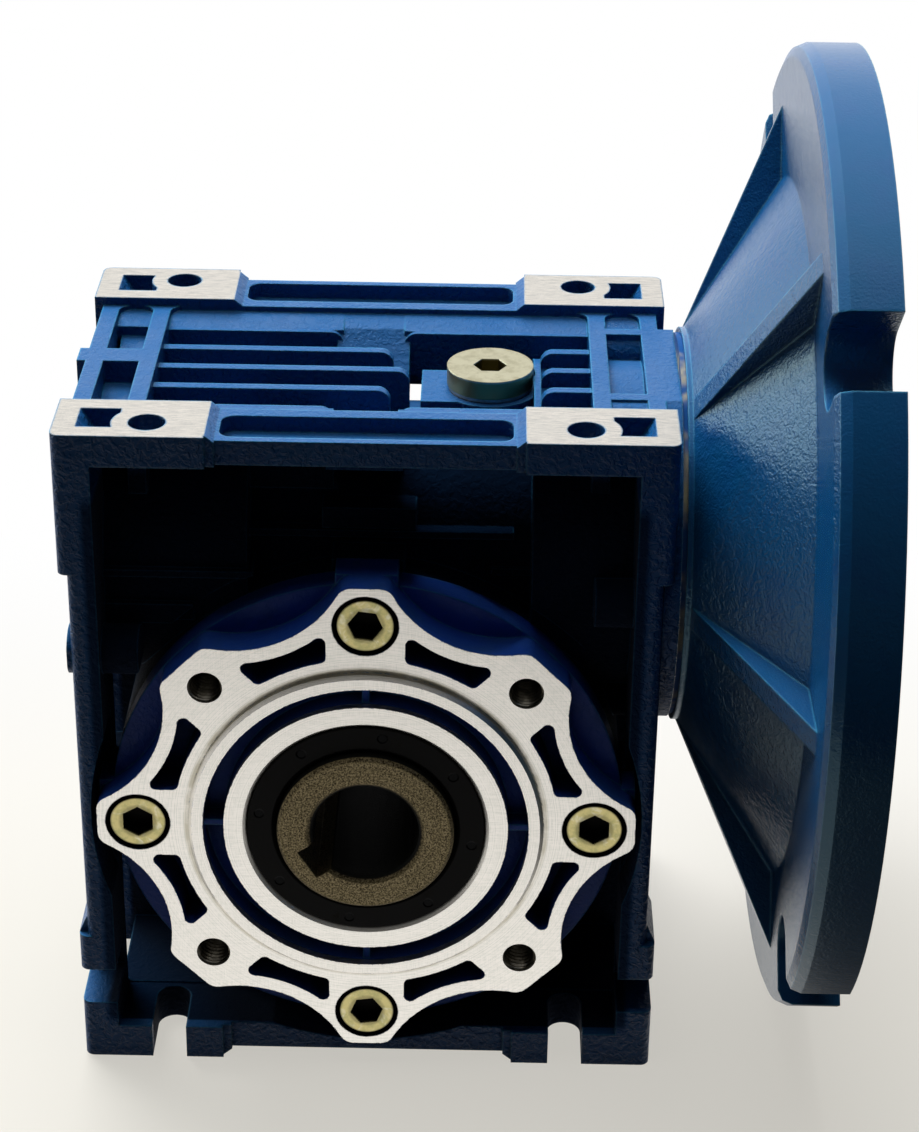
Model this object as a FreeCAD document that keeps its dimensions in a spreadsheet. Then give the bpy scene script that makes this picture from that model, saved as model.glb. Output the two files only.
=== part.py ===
# Worm gear reducer with a 40 mm centre distance, a hollow output shaft and a face flange for a motor.
# Millimetres. The origin is the middle of the output bore. The output shaft lies along Y, with the
# bolted cover at -Y. The worm lies along X above it, with the motor flange at +X. Z is up.
import FreeCAD, Part
import math
import os
import re
import Sketcher

# Driving sizes, which the spreadsheet holds under these names
SIZES = {
    # Casting envelope
    "centre_distance": 40,
    "body_end": 50,
    "body_side": 35.5,
    "body_top": 71.5,
    "body_base": 50,
    # Machined pads, rails and the strips between the pads
    "rail_inner": 21.5,
    "pad_inner_end": 25.5,
    "pad_thickness": 5.5,
    "strip_drop": 1.25,
    "strip_inset": 1.7,
    "strip_slope": 1.5,
    "strip_pocket_end": 23.5,
    "strip_pocket_near": 24.2,
    "strip_pocket_far": 32.2,
    "strip_pocket_depth": 2.8,
    "strip_pocket_round": 2.2,
    "base_pocket_depth": 1,
    "ledge_inner": 15.4,
    "ledge_top": 68.2,
    "ledge_thickness": 3,
    "ledge_rise": 1.3,
    "ledge_end": 46.5,
    "ledge_gap_start": -6,
    "ledge_gap_end": 4.6,
    "hole_spacing_length": 70,
    "hole_spacing_width": 60,
    "hole_diameter": 6,
    "pad_pocket_near_end": 39.6,
    "pad_pocket_far_end": 46.2,
    "pad_pocket_near_side": 25,
    "pad_pocket_far_side": 32,
    "pad_pocket_depth": 4.4,
    "pad_hole_wall": 2.8,
    "pad_pocket_slope": 2.6,
    # Corner columns and feet
    "column_inner": 43.8,
    "column_outer": 48.5,
    "corner_block_bottom": 46.5,
    "lug_top": 21,
    "lug_slope": 3.5,
    "side_slot_centre": 35,
    "side_slot_height": 7,
    "slot_end_side": 23.5,
    "foot_thickness": 6.5,
    "cover_sweep_gap": 3.2,
    "web_thickness": 4,
    "base_floor_rise": 2,
    "base_floor_thickness": 3.5,
    "base_bar_rise": 6,
    "corner_round": 1.6,
    # Top bars and cooling ribs
    "bar_top": 70,
    "outer_bar_foot": 17,
    "bar_foot": 55,
    "inner_bar_near": 36.5,
    "bar_thickness": 3,
    "end_web_width": 5.2,
    "end_web_tip": 50,
    "end_slope_near": 9,
    "end_slope_low": 64.4,
    "end_slope_depth": 3.4,
    "bar_flare": 2.2,
    "rib_pitch": 8,
    "rib_thickness": 1.9,
    "rib_foot": 54,
    "rib_corner_round": 2.2,
    "rib_floor": 63.2,
    "input_rib_floor": 65.5,
    "ledge_rib_foot": 58.6,
    "middle_rib_end": 6,
    "side_rib_end": 3,
    "short_rib_start": 28.2,
    "recess_wall_thickness": 1.2,
    "ramp_foot": 60.7,
    "input_web_place": 13.6,
    "input_web_thickness": 2.4,
    # Worm tube and the drum round the wheel
    "end_tube_radius": 26,
    "end_tube_length": 28.5,
    "mid_tube_radius": 20.5,
    "web_top": 52,
    "input_tube_start": 27,
    "input_tube_radius": 28,
    "input_ring_radius": 33.5,
    "input_ring_thickness": 2.7,
    "input_face": 51.2,
    "drum_radius": 43.4,
    "drum_front": 25.8,
    "neck_reach": 45.3,
    "neck_width": 12,
    "neck_back": 17,
    "bead_thickness": 1.3,
    "bead_height": 1.1,
    "middle_bead_place": 47.6,
    "middle_bead_start": -21,
    "middle_bead_end": 24,
    "end_bead_place": 42.6,
    "end_bead_end": -19,
    "end_pad_low": 33.3,
    "end_pad_high": 36.9,
    "end_pad_end": -29,
    "input_bead_place": 40.9,
    "input_bead_start": 20.4,
    "raised_pad_low": 48.6,
    "raised_pad_high": 52.4,
    "raised_pad_half_length": 7.8,
    # Mounting faces on both sides
    "face_place": 36.5,
    "lobe_thickness": 6,
    "long_lobe_reach": 45.5,
    "short_lobe_reach": 43.1,
    "scallop_radius": 20,
    "scallop_place": 58,
    "window_wall": 2.4,
    "window_inner_radius": 32.4,
    "window_arm": 13,
    "window_depth": 7.5,
    "window_corner_round": 1.1,
    "lobe_corner_round": 2.6,
    "lobe_boss_width": 10.4,
    "pilot_radius": 30,
    "pilot_inner_radius": 27.5,
    "pilot_height": 1.5,
    "seal_collar_radius": 24,
    "seal_collar_height": 1.3,
    "ring_groove_depth": 5.5,
    "ring_groove_rib": 1.2,
    "cover_screw_circle": 77.2,
    "cover_screw_radius": 3,
    "cover_screw_length": 18,
    "screw_head_radius": 4.7,
    "screw_head_height": 6,
    "counterbore_radius": 5.5,
    "counterbore_depth": 6.2,
    "screw_socket_width": 5,
    "screw_socket_depth": 3,
    "tapped_circle": 75,
    "tapped_radius": 2.9,
    "back_tapped_radius": 2.5,
    "tapped_depth": 12,
    "spigot_radius": 33.95,
    "spigot_clearance": 0.05,
    "o_ring_groove_near": 21,
    "o_ring_groove_width": 2.5,
    "o_ring_groove_depth": 2.1,
    "o_ring_section": 0.95,
    # Hollow output shaft and wheel
    "output_bore_radius": 9,
    "output_shaft_radius": 15,
    "output_shaft_end": 39,
    "output_mouth_chamfer": 1,
    "shaft_edge_chamfer": 0.6,
    "output_key_width": 6,
    "output_key_rise": 2.8,
    "output_key_turn": 237,
    "hub_shoulder": 18,
    "hub_radius": 22,
    "hub_flange_radius": 25,
    "hub_flange_thickness": 3,
    "wheel_half_width": 9,
    "wheel_teeth": 30,
    "gear_module": 2,
    "wheel_outer_radius": 33.2,
    "throat_clearance": 0.4,
    "pressure_angle": 20,
    "tooth_backlash": 0.3,
    "root_clearance": 0.5,
    # Output bearings and seals
    "output_bearing_width": 13,
    "output_bearing_outer": 27.5,
    "output_bearing_near": 17.3,
    "output_ball_radius": 3.57,
    "output_ball_count": 11,
    "output_seal_radius": 20,
    "output_seal_width": 7,
    "output_seal_gap": 0.2,
    "seal_wall": 1,
    "seal_lip_reach": 0.95,
    "lip_clearance": 0.05,
    # Worm shaft, its bearings and seal
    "worm_diameter_factor": 10,
    "worm_half_length": 17,
    "worm_tip_trim": 0.1,
    "worm_bore_radius": 14,
    "input_bore_start": 19,
    "input_relief_radius": 17.5,
    "end_bearing_near": 29,
    "end_bearing_width": 12,
    "end_bearing_inner": 8.5,
    "end_bearing_outer": 20,
    "end_ball_radius": 3.37,
    "end_ball_count": 8,
    "end_shoulder_radius": 10.5,
    "end_shoulder_length": 6,
    "worm_tail": 42,
    "input_bearing_near": 30,
    "input_bearing_width": 12,
    "input_bearing_inner": 12.5,
    "input_bearing_outer": 23.5,
    "input_ball_radius": 3.17,
    "input_ball_count": 10,
    "input_shoulder_radius": 15,
    "input_shoulder_length": 6,
    "input_neck_radius": 11,
    "input_shaft_end": 58,
    "input_bore_radius": 7.94,
    "input_bore_depth": 32,
    "input_key_width": 4.76,
    "input_key_rise": 2.1,
    "input_seal_width": 7,
    "snap_ring_thickness": 1.5,
    "snap_ring_play": 0.1,
    "snap_ring_bite": 1,
    "snap_ring_width": 3.4,
    "snap_ring_opening": 9,
    "end_cap_depth": 4.2,
    "end_cap_wall": 1.3,
    "end_cap_inset": 0.6,
    "ball_clearance": 0.05,
    "race_land": 0.55,
    "cage_thickness": 1.6,
    "cage_rim": 1.2,
    "cage_pocket_play": 0.1,
    # Motor flange
    "gasket_thickness": 0.8,
    "gasket_inset": 0.5,
    "flange_neck_radius": 34,
    "flange_neck_length": 0.9,
    "flange_wall": 6,
    "flange_hole_radius": 14.5,
    "flange_spigot_length": 0.2,
    "flange_spigot_radius": 23.45,
    "flange_face": 80,
    "rim_back": 69.6,
    "rim_radius": 82.5,
    "rim_back_round": 2.4,
    "cone_foot_radius": 60,
    "cavity_radius": 52,
    "motor_pilot_radius": 57.15,
    "motor_pilot_depth": 5,
    "flange_rib_thickness": 4,
    "flange_rib_reach": 73,
    "motor_bolt_circle": 149.2,
    "motor_slot_width": 12.5,
    "flange_screw_place": 29.5,
    "flange_screw_radius": 2.5,
    "flange_screw_length": 16,
    "flange_screw_head_radius": 4.25,
    "flange_screw_head_height": 5,
    "flange_screw_socket": 4,
    "flange_boss_radius": 4,
    "flange_boss_start": 37.4,
    "ribs_round_flange": 6,
    # Filler plug
    "plug_place": 19.6,
    "plug_boss_top": 65.3,
    "plug_boss_radius": 8.4,
    "plug_boss_start": 8,
    "plug_boss_half_width": 6.5,
    "plug_collar_radius": 7.3,
    "plug_collar_height": 3.2,
    "plug_thread_radius": 5.5,
    "plug_thread_length": 8.2,
    "plug_socket_width": 5,
    "plug_socket_depth": 2.6,
    "washer_thickness": 0.8,
    "washer_radius": 7,
    "washer_seat_room": 0.6,
    # Side fixing bosses in the plain end
    "side_boss_place": 30,
    "side_boss_radius": 4.2,
    "side_boss_start": 37.6,
    "side_boss_tip": 49.4,
    "side_boss_hole": 2.6,
    "side_boss_hole_depth": 10,
}

doc = FreeCAD.newDocument("worm_gear_reducer")
sheet = doc.addObject("Spreadsheet::Sheet", "Sizes")
for row, (word, value) in enumerate(SIZES.items(), start=1):
    sheet.set("A%d" % row, word)
    sheet.set("B%d" % row, str(value))
    sheet.setAlias("B%d" % row, word)
doc.recompute()

ORIGIN = FreeCAD.Vector(0, 0, 0)
X_AXIS = FreeCAD.Vector(1, 0, 0)
Y_AXIS = FreeCAD.Vector(0, 1, 0)
Z_AXIS = FreeCAD.Vector(0, 0, 1)
TURN_TO = {
    "X": FreeCAD.Rotation(Y_AXIS, 90),
    "Y": FreeCAD.Rotation(X_AXIS, -90),
    "Z": FreeCAD.Rotation(),
}
# Places that several pieces share, as formulas of the sizes
FLANGE_BACK = "input_face + gasket_thickness"
FAR_SEAT = "output_bearing_near + output_bearing_width"
END_FAR = "end_bearing_near + end_bearing_width"
INPUT_FAR = "input_bearing_near + input_bearing_width"
INPUT_SEAL_NEAR = INPUT_FAR + " + snap_ring_thickness + 3 * snap_ring_play"
ON_WORM = ("0", "centre_distance")
THREAD_TURNS = 8
SOCKET_TURNS = (30, 7, 30, 52)
sub_parts = []


def formula(text):
    """The text with the sheet named in front of each of its sizes."""
    def named(word):
        return "Sizes." + word.group() if word.group() in SIZES else word.group()
    return re.sub(r"[A-Za-z_]\w*", named, str(text))


def number(text):
    """The value that a formula of the sheet's sizes has now."""
    return float(sheet.evalExpression(formula(text)))


def bind(thing, prop, text):
    thing.setExpression(prop, formula(text))


def place(thing, at):
    for axis, text in zip("xyz", at):
        bind(thing, "Placement.Base." + axis, text)


def opposite(low, high):
    """The same span on the other side of the middle."""
    return "-(%s)" % high, "-(%s)" % low


def span(side, low, high):
    return (low, high) if side > 0 else opposite(low, high)


def box(name, along_x, along_y, along_z):
    solid = doc.addObject("Part::Box", name)
    for prop, (low, high) in zip(("Length", "Width", "Height"), (along_x, along_y, along_z)):
        bind(solid, prop, "(%s) - (%s)" % (high, low))
    place(solid, (along_x[0], along_y[0], along_z[0]))
    return solid


def cylinder(name, axis, radius, low, high, across=("0", "0")):
    """A cylinder from low to high along an axis; across holds its other two coordinates."""
    solid = doc.addObject("Part::Cylinder", name)
    solid.Placement = FreeCAD.Placement(ORIGIN, TURN_TO[axis])
    bind(solid, "Radius", radius)
    bind(solid, "Height", "(%s) - (%s)" % (high, low))
    at = list(across)
    at.insert("XYZ".index(axis), low)
    place(solid, at)
    return solid


def torus(name, axis, ring_radius, section_radius, at):
    solid = doc.addObject("Part::Torus", name)
    solid.Placement = FreeCAD.Placement(ORIGIN, TURN_TO[axis])
    bind(solid, "Radius1", ring_radius)
    bind(solid, "Radius2", section_radius)
    place(solid, at)
    return solid


def hexagon(name, axis, width, low, high, across=("0", "0"), turn=0):
    """A six-sided prism of a width across its flats, turned about its axis."""
    solid = doc.addObject("Part::Prism", name)
    solid.Placement = FreeCAD.Placement(ORIGIN, TURN_TO[axis] * FreeCAD.Rotation(Z_AXIS, turn))
    solid.Polygon = 6
    bind(solid, "Circumradius", "(%s) / sqrt(3)" % width)
    bind(solid, "Height", "(%s) - (%s)" % (high, low))
    at = list(across)
    at.insert("XYZ".index(axis), low)
    place(solid, at)
    return solid


def fuse(name, solids):
    joined = doc.addObject("Part::MultiFuse", name)
    joined.Shapes = solids
    joined.Refine = True
    return joined


def cut(name, base, tools):
    """The base with every tool taken out of it."""
    tool = tools[0] if len(tools) == 1 else fuse(name + "_tools", tools)
    rest = doc.addObject("Part::Cut", name)
    rest.Base = base
    rest.Tool = tool
    rest.Refine = True
    return rest


def common(name, solids):
    shared = doc.addObject("Part::MultiCommon", name)
    shared.Shapes = solids
    return shared


def group(name, solids):
    """Like pieces kept as separate solids of one sub-part."""
    together = doc.addObject("Part::Compound", name)
    together.Links = solids
    return together


def draw(sketch, corners):
    """A closed outline of straight lines, each corner bound to its formulas."""
    places = [FreeCAD.Vector(number(across), number(up), 0) for across, up in corners]
    count = len(places)
    for index, start in enumerate(places):
        end = places[(index + 1) % count]
        sketch.addGeometry(Part.LineSegment(start, end), False)
    for index, (across, up) in enumerate(corners):
        following = (index + 1) % count
        sketch.addConstraint(Sketcher.Constraint("Coincident", index, 2, following, 1))
        for kind, text, value in (("DistanceX", across, places[index].x), ("DistanceY", up, places[index].y)):
            row = sketch.addConstraint(Sketcher.Constraint(kind, -1, 1, index, 1, value))
            bind(sketch, "Constraints[%d]" % row, text)


def turned(name, axis, corners, height="0"):
    """A body turned about the X or Y axis from corners given as (along the axis, radius)."""
    body = doc.addObject("PartDesign::Body", name)
    sketch = body.newObject("Sketcher::SketchObject", name + "_profile")
    plane = [item for item in body.Origin.OriginFeatures if item.Role == "XY_Plane"][0]
    sketch.AttachmentSupport = [(plane, "")]
    sketch.MapMode = "FlatFace"
    if axis == "X":
        draw(sketch, corners)
    else:
        draw(sketch, [(radius, along) for along, radius in corners])
    doc.recompute()
    turn = body.newObject("PartDesign::Revolution", name + "_turning")
    turn.Profile = sketch
    turn.ReferenceAxis = (sketch, ["H_Axis" if axis == "X" else "V_Axis"])
    turn.Angle = 360
    body.Tip = turn
    bind(body, "Placement.Base.z", height)
    return body


def sub_part(thing, label):
    """Names a finished piece; its name is also its file's name."""
    thing.Label = label
    sub_parts.append(thing)
    return thing


def around(count, turn=0):
    return [turn + 360 / count * index for index in range(count)]


def rounded(name, solid, radius, chosen):
    """The solid with the straight edges that the test picks rounded."""
    doc.recompute()
    edges = []
    for index, edge in enumerate(solid.Shape.Edges, start=1):
        if edge.Curve.TypeId == "Part::GeomLine" and chosen(edge):
            edges.append((index, number(radius), number(radius)))
    smooth = doc.addObject("Part::Fillet", name)
    smooth.Base = solid
    smooth.Edges = edges
    return smooth


def lengthwise(edge):
    """An edge along the output axis."""
    return abs(edge.tangentAt(edge.FirstParameter).y) > 0.999


def upright(edge):
    return abs(edge.tangentAt(edge.FirstParameter).z) > 0.999


# Lobed mounting face, which the cover and the back of the casting share
def lobed_plate(name, low, high):
    """An eight-lobed plate: two squares turned by 45 degrees, with a scallop between each two lobes."""
    blocks = []
    for turn, reach in ((0, "long_lobe_reach"), (45, "short_lobe_reach")):
        block = doc.addObject("Part::Box", "%s_square_%d" % (name, turn))
        bind(block, "Length", "2 * %s" % reach)
        bind(block, "Width", "(%s) - (%s)" % (high, low))
        bind(block, "Height", "2 * %s" % reach)
        block.Placement = FreeCAD.Placement(ORIGIN, FreeCAD.Rotation(Y_AXIS, turn))
        corner = "%s * sqrt(2)" % reach
        if turn:
            place(block, ("-" + corner, low, "0"))
        else:
            place(block, ("-" + reach, low, "-" + reach))
        blocks.append(block)
    plate = common(name + "_plate", blocks)
    sharp = cut(name + "_sharp", plate, scallops(name, "scallop_radius", low, high))
    return rounded(name, sharp, "lobe_corner_round", lengthwise)


def scallops(name, radius, low, high):
    cuts = []
    for index, angle in enumerate(around(8, 22.5)):
        across = ("scallop_place * cos(%s)" % angle, "scallop_place * sin(%s)" % angle)
        cuts.append(cylinder("%s_scallop_%d" % (name, index), "Y", radius,
                             "(%s) - 1" % low, "(%s) + 1" % high, across))
    return cuts


def windows(name, low, high):
    """The eight cored pockets between the lobes, as one solid to be cut out."""
    disc = cylinder(name + "_disc", "Y", "long_lobe_reach", low, high)
    middle = cylinder(name + "_middle", "Y", "window_inner_radius", "(%s) - 1" % low, "(%s) + 1" % high)
    kept = [middle] + scallops(name + "_rim", "scallop_radius + window_wall", low, high)
    for turn in (0, 45, 90, 135):
        arm = doc.addObject("Part::Box", "%s_arm_%d" % (name, turn))
        bind(arm, "Length", "2 * scallop_place")
        bind(arm, "Width", "(%s) - (%s) + 2" % (high, low))
        bind(arm, "Height", "window_arm")
        arm.Placement = FreeCAD.Placement(ORIGIN, FreeCAD.Rotation(Y_AXIS, turn))
        back = "-scallop_place * cos(%d)" % turn
        up = "scallop_place * sin(%d)" % turn
        half = "window_arm / 2"
        place(arm, ("%s - %s * sin(%d)" % (back, half, turn), "(%s) - 1" % low,
                    "%s - %s * cos(%d)" % (up, half, turn)))
        kept.append(arm)
    sharp = cut(name + "_sharp", disc, kept)
    return rounded(name, sharp, "window_corner_round", lengthwise)


def face_holes(name, radius, circle, turn, low, high):
    holes = []
    for index, angle in enumerate(around(4, turn)):
        across = ("%s / 2 * cos(%s)" % (circle, angle), "%s / 2 * sin(%s)" % (circle, angle))
        holes.append(cylinder("%s_%d" % (name, index), "Y", radius, low, high, across))
    return holes


# Casting
def rails():
    """Four machined pads, the lower strips between them and the feet below."""
    adds = []
    for side in (1, -1):
        tag = "rear" if side > 0 else "front"
        across = span(side, "rail_inner", "body_side")
        strip = span(side, "rail_inner", "body_side - strip_inset")
        adds.append(box(tag + "_top_strip", ("-pad_inner_end", "pad_inner_end"), strip,
                        ("body_top - pad_thickness", "body_top - strip_drop")))
        adds.append(box(tag + "_bottom_strip", ("-pad_inner_end", "pad_inner_end"), strip,
                        ("-body_base + strip_drop", "-body_base + foot_thickness")))
        adds.append(along_x(tag + "_ledge_left", ledge_outline(side), "-ledge_end", "ledge_gap_start"))
        adds.append(along_x(tag + "_ledge_right", ledge_outline(side), "ledge_gap_end", "ledge_end"))
        for end in (1, -1):
            place_tag = "%s_%s" % (tag, "input" if end > 0 else "plain")
            adds.append(box(place_tag + "_pad", span(end, "pad_inner_end", "body_end"), across,
                            ("body_top - pad_thickness", "body_top")))
            adds.append(box(place_tag + "_foot", span(end, "pad_inner_end", "body_end"), across,
                            ("-body_base", "-body_base + foot_thickness")))
            adds.append(box(place_tag + "_column", span(end, "column_inner", "column_outer"), across,
                            ("-body_base", "body_top - 1")))
            adds.append(box(place_tag + "_corner_block", span(end, "column_inner", "body_end"), across,
                            ("corner_block_bottom", "body_top - 1")))
            adds.append(lug(place_tag + "_lug", side, end))
            adds.append(pad_step(place_tag + "_pad_step", side, end, 1))
            adds.append(pad_step(place_tag + "_foot_step", side, end, -1))
    return adds


def ledge_outline(side):
    """The sloping ledge inside a rail, in Y and Z."""
    near = "ledge_inner + rib_thickness / 2"
    return mirrored(side, [("rail_inner + 1", "ledge_top + ledge_rise"), (near, "ledge_top"),
                           (near, "ledge_top - ledge_thickness"),
                           ("rail_inner + 1", "ledge_top - ledge_thickness")])


def mirrored(side, outline):
    if side > 0:
        return outline
    return [("-(%s)" % across, up) for across, up in outline]


def along_x(name, outline, low, high):
    """A prism along X from an outline in Y and Z."""
    sketch = doc.addObject("Sketcher::SketchObject", name + "_outline")
    sketch.Placement = FreeCAD.Placement(ORIGIN, FreeCAD.Rotation(FreeCAD.Vector(1, 1, 1), 120))
    bind(sketch, "Placement.Base.x", low)
    draw(sketch, outline)
    prism = doc.addObject("Part::Extrusion", name)
    prism.Base = sketch
    prism.DirMode = "Normal"
    prism.Solid = True
    bind(prism, "LengthFwd", "(%s) - (%s)" % (high, low))
    return prism


def along_y(name, end, outline, low, high):
    """A prism along Y from an outline in X and Z, for the end of the casting it stands at."""
    sketch = doc.addObject("Sketcher::SketchObject", name + "_outline")
    sketch.Placement = FreeCAD.Placement(ORIGIN, FreeCAD.Rotation(X_AXIS, 90))
    bind(sketch, "Placement.Base.y", high)
    draw(sketch, mirrored(end, outline))
    prism = doc.addObject("Part::Extrusion", name)
    prism.Base = sketch
    prism.DirMode = "Normal"
    prism.Solid = True
    bind(prism, "LengthFwd", "(%s) - (%s)" % (high, low))
    return prism


def lug(name, side, end):
    """The block at a column's foot that the side slot cuts, sloped at its top."""
    outline = [("column_inner", "-body_base"), ("body_end", "-body_base"),
               ("body_end", "-lug_top - lug_slope"), ("column_outer", "-lug_top"),
               ("column_inner", "-lug_top")]
    return along_y(name, end, outline, *span(side, "rail_inner", "body_side"))


def pad_step(name, side, end, way):
    """The slope from a pad or a foot down to the strip beside it; way is 1 at the top."""
    level, foot = ("body_top", "body_top - pad_thickness") if way > 0 else ("body_base", "body_base - foot_thickness")
    outline = [("pad_inner_end + 1", level), ("pad_inner_end", level),
               ("pad_inner_end - strip_slope", level + " - strip_drop"),
               ("pad_inner_end - strip_slope", foot), ("pad_inner_end + 1", foot)]
    if way < 0:
        outline = [(along, "-(%s)" % up) for along, up in outline]
    return along_y(name, end, outline, *span(side, "rail_inner", "body_side - strip_inset / 2"))


def bars():
    """Cross bars over both ends of the worm tube, with the webs that tie them."""
    adds = []
    wide = ("-rail_inner - 1", "rail_inner + 1")
    tall = ("bar_foot", "bar_top")
    for end in (1, -1):
        tag = "input" if end > 0 else "plain"
        adds.append(box(tag + "_outer_bar", span(end, "column_outer - bar_thickness", "column_outer"),
                        wide, ("outer_bar_foot", "bar_top")))
        adds.append(box(tag + "_inner_bar", span(end, "inner_bar_near", "inner_bar_near + bar_thickness"),
                        wide, tall))
        adds.append(box(tag + "_base_bar", span(end, "pad_inner_end - bar_thickness", "pad_inner_end"),
                        ("-rail_inner - 1", "rail_inner + 1"),
                        ("-body_base + strip_drop", "-body_base + foot_thickness + base_bar_rise")))
    adds.append(box("end_web", ("-end_web_tip", "-inner_bar_near"),
                    ("-end_web_width / 2", "end_web_width / 2"), tall))
    for side in (1, -1):
        slope = mirrored(side, [("rail_inner + 1", "ledge_top"), ("end_slope_near", "end_slope_low"),
                                ("end_slope_near", "end_slope_low - end_slope_depth"),
                                ("rail_inner + 1", "ledge_top - 2 * end_slope_depth")])
        adds.append(along_x("end_slope_%d" % (side + 1), slope, "-column_inner - 1", "-inner_bar_near - 1"))
        for end in (1, -1):
            for tag, near, way in (("outer", "column_outer - bar_thickness", -1),
                                   ("inner_far", "inner_bar_near + bar_thickness", 1),
                                   ("inner_near", "inner_bar_near", -1)):
                adds.append(flare("%s_flare_%d_%d" % (tag, end + 1, side + 1), side, end, near, way))
        adds.append(box("input_web_%d" % (side + 1), ("inner_bar_near", "input_face"),
                        ("%d * input_web_place - input_web_thickness / 2" % side,
                         "%d * input_web_place + input_web_thickness / 2" % side), tall))
    return adds


def flare(name, side, end, near, way):
    """The rounding in the corner between a bar's side and a rail, over the ledge."""
    far = "%s + %d * bar_flare" % (near, way)
    low, high = (near, far) if way > 0 else (far, near)
    block = box(name + "_block", span(end, low, high),
                span(side, "rail_inner - bar_flare", "rail_inner + 1"), ("ledge_top - 1", "bar_top"))
    spot = ("%d * (%s)" % (end, far), "%d * (rail_inner - bar_flare)" % side)
    post = cylinder(name + "_post", "Z", "bar_flare", "ledge_top - 2", "bar_top + 1", spot)
    return cut(name, block, [post])


def rib(name, length, middle, foot, top, round_ends):
    """A cooling rib along X whose free upper corners are rounded."""
    across = ("%s - rib_thickness / 2" % middle, "%s + rib_thickness / 2" % middle)
    plate = box(name + "_plate", length, across, (foot, top))
    ends = [number(length[0 if side < 0 else 1]) for side in round_ends]

    def free_corner(edge):
        spot = edge.CenterOfMass
        at_end = any(abs(spot.x - end) < 0.001 for end in ends)
        return at_end and abs(spot.z - number(top)) < 0.001

    return rounded(name, plate, "rib_corner_round", free_corner)


def ribs():
    """Long cooling ribs on the plain side of the plug, short ones on the input side."""
    adds = []
    for step in (-1, 0, 1):
        middle = "%d * rib_pitch" % step
        end = "side_rib_end" if step else "middle_rib_end"
        adds.append(rib("long_rib_%d" % (step + 1), ("-inner_bar_near - 1", end), middle,
                        "rib_foot", "ledge_top", (1,)))
        adds.append(rib("short_rib_%d" % (step + 1), ("short_rib_start", "inner_bar_near + 1"), middle,
                        "rib_foot", "ledge_top + 0.3", (-1,)))
        adds.append(box("base_rib_%d" % (step + 1), ("-pad_inner_end", "pad_inner_end"),
                        ("%s - rib_thickness / 2" % middle, "%s + rib_thickness / 2" % middle),
                        ("-body_base + strip_drop", "-body_base + strip_drop + base_floor_rise + 1")))
    for side in (1, -1):
        middle = "%d * (ledge_inner + rib_thickness / 2)" % side
        adds.append(rib("ledge_rib_left_%d" % (side + 1), ("-inner_bar_near", "ledge_gap_start"), middle,
                        "rib_foot", "ledge_top", (1,)))
        adds.append(rib("ledge_rib_right_%d" % (side + 1), ("ledge_gap_end", "inner_bar_near"), middle,
                        "ledge_rib_foot", "ledge_top", (-1,)))
    return adds


def tubes():
    """The worm tube in its three diameters, with room between the cooling ribs."""
    mass = fuse("tube_mass", [
        cylinder("end_tube", "X", "end_tube_radius", "-column_outer", "-column_outer + end_tube_length", ON_WORM),
        cylinder("mid_tube", "X", "mid_tube_radius", "-inner_bar_near", "inner_bar_near", ON_WORM),
        cylinder("input_tube", "X", "input_tube_radius", "input_tube_start", "input_face - 1", ON_WORM),
    ])
    wide = ("-ledge_inner - 1", "ledge_inner + 1")
    spaces = [
        box("rib_space", ("-inner_bar_near", "input_tube_start - 1"), wide, ("rib_floor", "body_top")),
        box("input_rib_space", ("input_tube_start + recess_wall_thickness", "inner_bar_near"), wide,
            ("input_rib_floor", "body_top")),
    ]
    return cut("tubes", mass, spaces)


def beads():
    """Raised lines and plain raised pads that the mould leaves on the tube, on both sides."""
    adds = []
    for side in (1, -1):
        tag = "rear" if side > 0 else "front"
        thin = "bead_thickness / 2"
        mid = span(side, "0", "mid_tube_radius + bead_height / 2")
        end = span(side, "0", "end_tube_radius + bead_height")
        adds.append(box(tag + "_middle_bead", ("middle_bead_start", "middle_bead_end"), mid,
                        ("middle_bead_place - " + thin, "middle_bead_place + " + thin)))
        adds.append(box(tag + "_raised_pad", ("-raised_pad_half_length", "raised_pad_half_length"), mid,
                        ("raised_pad_low", "raised_pad_high")))
        adds.append(box(tag + "_end_bead", ("-column_inner - 1", "end_bead_end"), end,
                        ("end_bead_place - " + thin, "end_bead_place + " + thin)))
        adds.append(box(tag + "_end_pad", ("-column_inner - 1", "end_pad_end"), end,
                        ("end_pad_low", "end_pad_high")))
        adds.append(box(tag + "_input_bead", ("input_bead_start", "input_tube_start + 1"), mid,
                        ("input_bead_place - " + thin, "input_bead_place + " + thin)))
    return adds


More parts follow.
